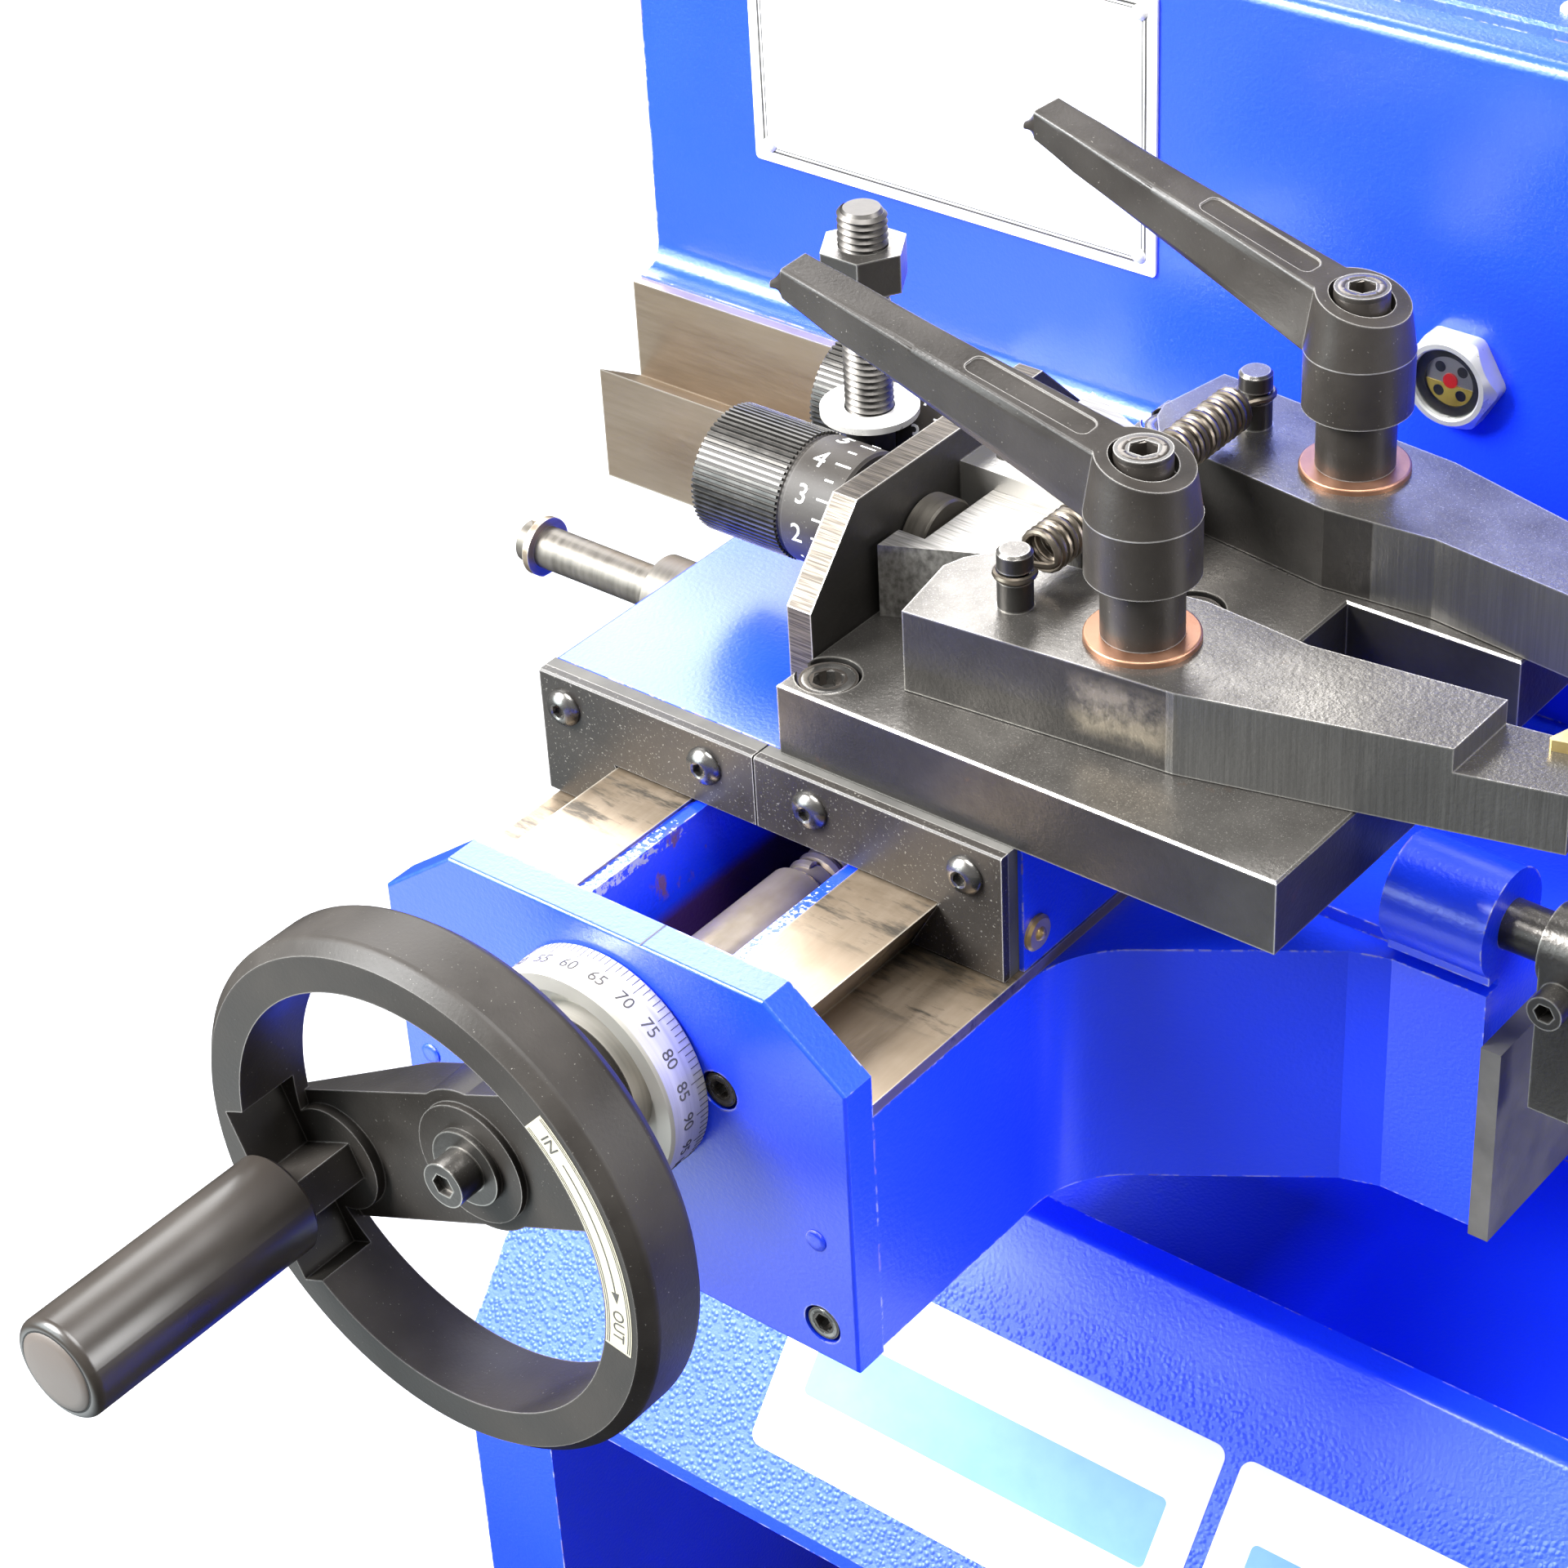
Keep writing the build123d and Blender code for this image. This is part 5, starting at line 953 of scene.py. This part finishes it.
# %% Dial marks
DIAL_R, DIAL_BACK, DIAL_NUMBERS, DIAL_EVERY = 33.4, -74.9, 22, 5
dial = Bench("dial_graduation", "handwheel", "dial_silver", engraved, seat((0, DIAL_BACK, SCREW_Z), BACK, UP))
zero_turn = math.radians(-6 - 12 * 360 / DIAL_NUMBERS)
towards_rim = dial.stand @ Matrix.Rotation(zero_turn, 4, "Z") @ Matrix.Scale(-1, 4, UP)
dial.grow(marks_tree, stand=towards_rim, lift=0.9, Count=DIAL_NUMBERS * DIAL_EVERY, Radius=DIAL_R, Wide=0.22,
          Deep=0.16, Long=3.0, Extra=1.6, Every=DIAL_EVERY)
for step in range(DIAL_NUMBERS):
    start = zero_turn + TURN * step / DIAL_NUMBERS
    dial.add(bent(lettering(str(DIAL_EVERY * step), 3.7, 0.1),
                  lambda u, v, w: (DIAL_R + w, start + u / DIAL_R, v - 8.6)))
dial.done()

# %% [markdown]
# A cream label on the handwheel's rim shows which way moves the slide in and which way out. It is a bent strip
# on the flat front of the rim with a dark double border, a line between the two words and an arrow head.

# %% Rim label
RIM_FRONT, LABEL_R, LABEL_THICK = -149.0, 66.0, 0.12


def rim_strip(middle, half, start, end, proud, steps=40):
    corners, faces = [], []
    for k in range(steps + 1):
        angle = math.radians(start + (end - start) * k / steps)
        for side, height in ((-half, 0), (half, 0), (half, proud), (-half, proud)):
            corners.append((*polar(middle + side, angle), height))
    for k in range(steps):
        for side in range(4):
            a, b = 4 * k + side, 4 * k + (side + 1) % 4
            faces.append((a, b, b + 4, a + 4))
    faces += [(3, 2, 1, 0), tuple(4 * steps + k for k in range(4))]
    return corners, faces


def on_rim(shape, start):
    return bent(shape, lambda u, v, w: (LABEL_R + v, math.radians(start) - u / LABEL_R, LABEL_THICK + w))


rim = Bench("in_out_label", "handwheel", "printed_plate", ink, seat((0, RIM_FRONT, SCREW_Z), FRONT))
rim.add(rim_strip(LABEL_R, 4.0, 48, -11, LABEL_THICK), cream)
for border in (-3.5, 3.5, -2.9, 2.9):
    rim.add(rim_strip(LABEL_R + border, 0.12, 47.4, -10.4, 0.17))
rim.add(rim_strip(LABEL_R, 0.2, 37, 5, 0.17))
rim.add(on_rim(flat([(-1.6, -1.2), (1.8, 0), (-1.6, 1.2)], 0, 0.06), 4))
rim.add(on_rim(lettering("IN", 3.4, 0.06), 42))
rim.add(on_rim(lettering("OUT", 3.4, 0.06), -4))
rim.done()

# %% [markdown]
# The headstock's nameplate is a pale printed sheet, left without words: a double ruled border and a round-headed
# rivet at each corner. The apron carries two plain white stickers with rounded corners and a pale blue band.

# %% Nameplate, rivets and stickers
SLOPE_TOP = Vector((0, 70, -197))
SLOPE_UP, SLOPE_OUT = Vector((0, 75, 95)).normalized(), Vector((0, -95, 75)).normalized()
pale_blue = plain_finish("pale_print", (0.09, 0.25, 0.56), (0.13, 0.3, 0.62), 0.32)
rivet = turned((0, 2.6), (0.4, 2.5), (0.9, 1.9), (1.2, 1.0), steps=20)

plate = Bench("nameplate_border", "frame", "printed_plate", ink, seat((-107, 221, 81), FRONT))
plate.add(band(rounded(147, 83, 2.5), rounded(145.6, 81.6, 2), 0, 0.08))
plate.add(band(rounded(144.2, 80.2, 2), rounded(143.6, 79.6, 2), 0, 0.08))
plate.set_at(grid((-71, 71), (-39, 39)), rivet, zinc)
plate.done()


def apron_sticker(name, left, right, top=38, bottom=103):
    wide, high = right - left, bottom - top
    middle = SLOPE_TOP + Vector(((left + right) / 2, 0, 0)) - SLOPE_UP * (top + bottom) / 2
    sticker = Bench(name, "frame", "printed_plate", card_white, seat(middle, SLOPE_OUT))
    sticker.add(flat(rounded(wide, high, 4), 0, 0.2))
    sticker.add(flat(rounded(wide - 24, high * 0.34, 2), 0.2, 0.24), pale_blue)
    sticker.done()


apron_sticker("apron_sticker_left", -35, 115.5)
apron_sticker("apron_sticker_right", 121, 262)

# %% [markdown]
# Behind the sight glass a bright reflector with four holes and a red dot sits in a black ring, and gold oil
# stands a little below the middle. The hexagonal bezel screws all this into the headstock.

# %% Sight glass
SIGHT_X, SIGHT_Z, SIGHT_SEAT, SIGHT_BASE = 73.5, 34.2, 218.45, 222
oil_gold = plain_finish("sight_oil", (0.25, 0.17, 0.03), (0.46, 0.36, 0.08), 0.2)
reflector = plain_finish("sight_reflector", (0.3, 0.29, 0.3), (0.46, 0.45, 0.45), 0.3, 0.6)
black_ring = plain_finish("sight_seal", (0.008, 0.008, 0.008), (0.018, 0.018, 0.018), 0.4)
sight = Bench("oil_sight", "frame", "sight_glass", black_ring, seat((SIGHT_X, SIGHT_SEAT, SIGHT_Z), FRONT))
sight.add(turned((0, 10.7), (0.2, 10.7)), reflector)
sight.add(band(circle(10.75), circle(7.9), 0.2, 1.5))
sight.add(flat([polar(8.1, math.radians(a)) for a in range(-172, -7, 6)], 0.2, 0.6), oil_gold)
holes = grid((-3.6, 3.6), (3.5,), 0.2) + grid((-3.6, 3.6), (-3.9,), 0.6)
sight.set_at(holes, turned((0, 1.7), (0.1, 1.7), steps=20))
sight.add(turned((0.2, 2.3), (0.8, 2.3), steps=24), red_plastic)
sight.add(turned((1.7, 10.7), (2.5, 10.7), (2.9, 10.2)), sight_clear)
sight.done("sight_window")


# %% [markdown]
# The bezel is a hexagonal nut that a turned chamfer cuts back to a round face. The chamfer is a cone, so it
# meets each flat in an arc: the ring of corners where they meet rises towards the middle of a flat.

# %% Sight glass bezel
def turned_nut(across_flats, widest, face, tall, bore, floor_at, steps=72):
    """A hexagonal nut with a cone-shaped chamfer and a blind bore."""
    outline = []
    for x, y in hexagon(across_flats, steps):
        kept = min(1, widest / math.hypot(x, y))
        outline.append((x * kept, y * kept))
    corners, faces = lofted((0, outline), (0, outline), (tall, circle(face, steps)), (tall, circle(bore + 0.5, steps)),
                            (tall - 0.5, circle(bore, steps)), (floor_at, circle(bore, steps)))
    corners[steps:2 * steps] = [(x, y, tall - 0.2 - (math.hypot(x, y) - face) * 1.1) for x, y in outline]
    return corners, faces


bezel_stand = seat((SIGHT_X, SIGHT_BASE, SIGHT_Z), FRONT, UP)
bezel = Bench("sight_bezel_nut", "frame", "bright_zinc", bezel_white, bezel_stand)
bezel.add(turned_nut(27.4, 15.4, 12.7, 8, 10.8, 3.5))
bezel.done("sight_bezel")

# %% [markdown]
# A low grey dome closes the end of the revolving grip, with a dark seam around it.

# %% Grip end
plug_stand = seat((-50.245, -228.5, -74.871), FRONT)
grip_plug = Bench("grip_end_cap", "handle", "black_plastic", cap_grey, plug_stand)
grip_plug.add(turned((-0.2, 11.6), (0.1, 11.6), (0.45, 11.2), (0.75, 9), (0.95, 6), (1.05, 3), (1.1, 0.5)))
grip_plug.add(band(circle(12.1), circle(11.6), -0.1, 0.06), seam_and_shade_black)
grip_plug.done()

# %% [markdown]
# Four domed button-head screws hold the wiper plates. Each head is a loft from a wide circle up over the dome
# to a hexagonal socket.

# %% Button-head screws
head_steel = plain_finish("button_head_steel", (0.12, 0.115, 0.11), (0.24, 0.23, 0.215), 0.26, 0.9, 200)
button = socket_head([(0, 5.7), (0.5, 5.7), (1.3, 5.3), (2.1, 4.5), (2.7, 3.4), (2.95, 2.5)], 3.6, 2.7, 1.1)
heads = Bench("button_heads", "cross_slide", "black_steel", head_steel, seat((0, -5.4, -10), FRONT))
heads.set_at(grid((-72.7, -22.5, 13.7, 64.3), (0,)), button)
heads.done("wiper_screws")

# %% [markdown]
# The clamp levers turn on cap screws. Each head has a rounded rim and a chamfered hexagonal socket. Where the
# lever's two moulded halves meet, a pale band is painted round the seam as a highlight on its step.

# %% Lever cap screws
LEVER_X, LEVER_TOP = 87.4, 92
painted_seam_highlight = plain_finish("painted_seam_highlight", (0.16, 0.155, 0.15), (0.34, 0.33, 0.32), 0.3, 0.5, 150)
lever_head = socket_head([(0.2, 7.56), (7.2, 7.56), (8.0, 7.4), (8.7, 6.9), (9.1, 6.2), (9.1, 4.7)],
                         6.9, 8.4, 3.6, steps=48)
for lever, y in (("front_lever", 41), ("rear_lever", 142.4)):
    lever_stand = seat((LEVER_X, y, LEVER_TOP), UP, (1, 0.35, 0))
    lever_cap = Bench(lever + "_cap_screw", lever, "satin_black", screw_black, lever_stand)
    lever_cap.add(lever_head)
    # Painted highlight: a pale band round the lever's seam.
    lever_cap.add(band(circle(15.07, 64), circle(14.4, 64), -9.2, -8.85), painted_seam_highlight)
    lever_cap.done()

# %% [markdown]
# The end plate is located by two dowels, painted over with the plate, and carries the index line that the dial
# is read against.

# %% Dowels and index line
dowels = Bench("end_plate_dowels", "carriage", "blue_paint", blue, seat((0, -74.6, 0), FRONT))
dowels.set_at([(66, -83.7, 0), (-68.9, -85, 0)], turned((0, 3.2), (0.3, 3.2), (0.6, 2.7), (0.6, 1.2), steps=28))
dowels.add(flat(rounded(0.5, 10.4, 0.2), 0, 0.08), engraved, seat((13, -69.3, -12), UP))
dowels.done()

# %% [markdown]
# In the bay behind the tray sits a fan-cooled motor: long fins along its body, a pressed cover with radial
# slots over the fan, drawn as thin dark marks painted on as the shade inside them, and a terminal box whose lid
# is held by four screws. The gland where a cable would enter is there, its mouth a dark disc painted as shade,
# but the picture shows no cable and none is made.

# %% Motor fins, fan cover and terminal box
small_screw = socket_head([(0, 3.4), (0.9, 3.3), (1.7, 2.6), (2.0, 1.6)], 2.4, 0.8)
motor = Bench("motor_details", "frame", "motor_grey", motor_grey, seat((136, 312, -395), RIGHT, UP))
motor.grow(marks_tree, Count=44, Radius=70.6, Wide=2.0, Deep=5.0, Long=172.0)
fan_stand = seat((120, 312, -395), LEFT, UP)
motor.add(turned((-10, 72.6), (30, 72.6), (38, 69.5), (42, 62), (43, 50), (43, 12), steps=64), stand=fan_stand)
# Painted shade: thin dark marks on the fan cover stand for its slots.
motor.grow(marks_tree, seam_and_shade_black, fan_stand, 42.9, Count=28, Radius=34.0, Wide=3.2, Deep=27.0, Long=0.3)
box_stand = seat((220, 312, -295), UP)
motor.add(lofted((-1, rounded(75, 75, 6)), (3, rounded(75, 75, 6)), (4.5, rounded(72, 72, 5))), stand=box_stand)
motor.set_at(grid((-30, 30), (-30, 30), 4.5), small_screw, zinc, box_stand)
gland_stand = seat((185, 312, -314), LEFT, UP)
motor.add(flat(hexagon(22), 0, 6.5), grip_black, gland_stand)
motor.add(turned((6.5, 10), (13, 10), (16, 8.2), (16, 5.4), steps=24), grip_black, gland_stand)
# Painted shade: a dark disc in the gland's mouth.
motor.add(turned((15.9, 5.2), (16.1, 5.2), steps=24), seam_and_shade_black, gland_stand)
motor.done()

# %% [markdown]
# Small screws hold the sheet-metal covers: the headstock's lid, the belt guard and the switch plate. They are
# one shape set at marked points. The spindle's bearing cover has six larger cap screws.

# %% Cover screws
GUARD_SIDE = 462
covers = Bench("cover_screws", "frame", "bright_zinc", zinc, seat((0, 0, 138.7), UP))
covers.set_at(grid((-203, 87, 378), (249, 388)), small_screw)
covers.set_at(grid((280, 374), (-380, -150, 86)), small_screw, stand=seat((GUARD_SIDE, 0, 0), RIGHT, BACK))
covers.set_at(grid((-16.5, 16.5), (-29, 29)), rivet, stand=seat((180, 217, 92), FRONT))
covers.done()

cover_cap = socket_head([(0, 4.15), (3.6, 4.15), (4.15, 3.7), (4.15, 2.6)], 4.0, 3.8, 1.6)
cover_caps = Bench("spindle_cover_screws", "frame", "black_steel", screw_black, seat((330, 210, 41), FRONT))
cover_caps.set_at([(*polar(35.5, math.radians(60 * k)), 0) for k in range(6)], cover_cap)
cover_caps.done()

# %% [markdown]
# The push buttons are lettered in white paint, and the words move with the buttons.

# %% Button words
for body, word, height, slot_name in (("start", "ON", 109, "green_plastic"), ("stop", "OFF", 77, "red_plastic")):
    button_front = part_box(body + "_button")[0][1] / MM - ORIGIN.y
    words = Bench(body + "_word", body, slot_name, white_paint, seat((180, button_front, height), FRONT))
    words.add(lettering(word, 4.6, 0.12))
    words.done()


# %% [markdown]
# Cap screws sunk in counterbores hold the tool plate and the end plate. Their blackening has gone at the rim, so
# each head shows as a bright ring round a dark socket.

# %% Sunk cap screws
def cap_screw(radius, high, key, deep):
    rim = [(0.2, radius), (high - 1.0, radius), (high - 0.4, radius * 0.96),
           (high, radius * 0.87), (high, radius * 0.68)]
    return socket_head(rim, key, high - 0.5, high - deep, steps=48)


plate_caps = Bench("tool_plate_caps", "cross_slide", "black_steel", head_steel, Matrix.Identity(4))
plate_caps.set_at([(8.7, 11, 10.7), (8.7, 172.4, 10.7), (69.3, 91.7, 10.7)], cap_screw(8.06, 10.15, 7.9, 4.6))
plate_caps.done()
end_caps = Bench("end_plate_caps", "carriage", "black_steel", head_steel, seat((0, -68.1, 0), FRONT))
end_caps.set_at([(side * x, z, 0) for side in (-1, 1) for x, z in ((66.5, -112.4), (36.5, -48.2))],
                cap_screw(5.06, 6.1, 4.94, 2.7))
end_caps.done()

# %% [markdown]
# The back of the headstock and the belt guard are closed with painted sheet. Pressed louvres let the drive
# breathe: each is a raised lip over a thin dark flat painted in as the shade of its slot, and a stack of them is
# one shape set at marked points.

# %% Rear panel and louvres
lip = lofted((0, rounded(62, 9, 4)), (2.4, rounded(60, 7.4, 3.5)),
             (4, rounded(57, 4.6, 2.2)), (4.5, rounded(54, 2.4, 1.1)))
# A thin dark flat, painted shade for the slot under a louvre's lip.
louvre_slot_shade = flat(rounded(58, 2.6, 1), 0, 0.15)
panel = Bench("rear_panel", "frame", "blue_paint", blue, seat((87.5, 415, 25), BACK, LEFT))
panel.add(lofted((0, rounded(520, 150, 8)), (1.5, rounded(520, 150, 8)), (2, rounded(519, 149, 7.5))))
panel.set_at(grid((-248, 0, 248), (-63, 63), 2), small_screw, zinc)
guard_stand = seat((GUARD_SIDE, 327, -290), RIGHT, BACK)
for stand, centres, base in ((panel.stand, (-150, 150), 2), (guard_stand, (0,), 0)):
    rows = grid(centres, range(-35, 36, 14), base)
    panel.set_at(rows, lip, blue, stand)
    # Painted shade: a dark flat under each lip stands for its slot.
    panel.set_at([(x, y - 5.4, z) for x, y, z in rows], louvre_slot_shade, seam_and_shade_black, stand)
panel.done()
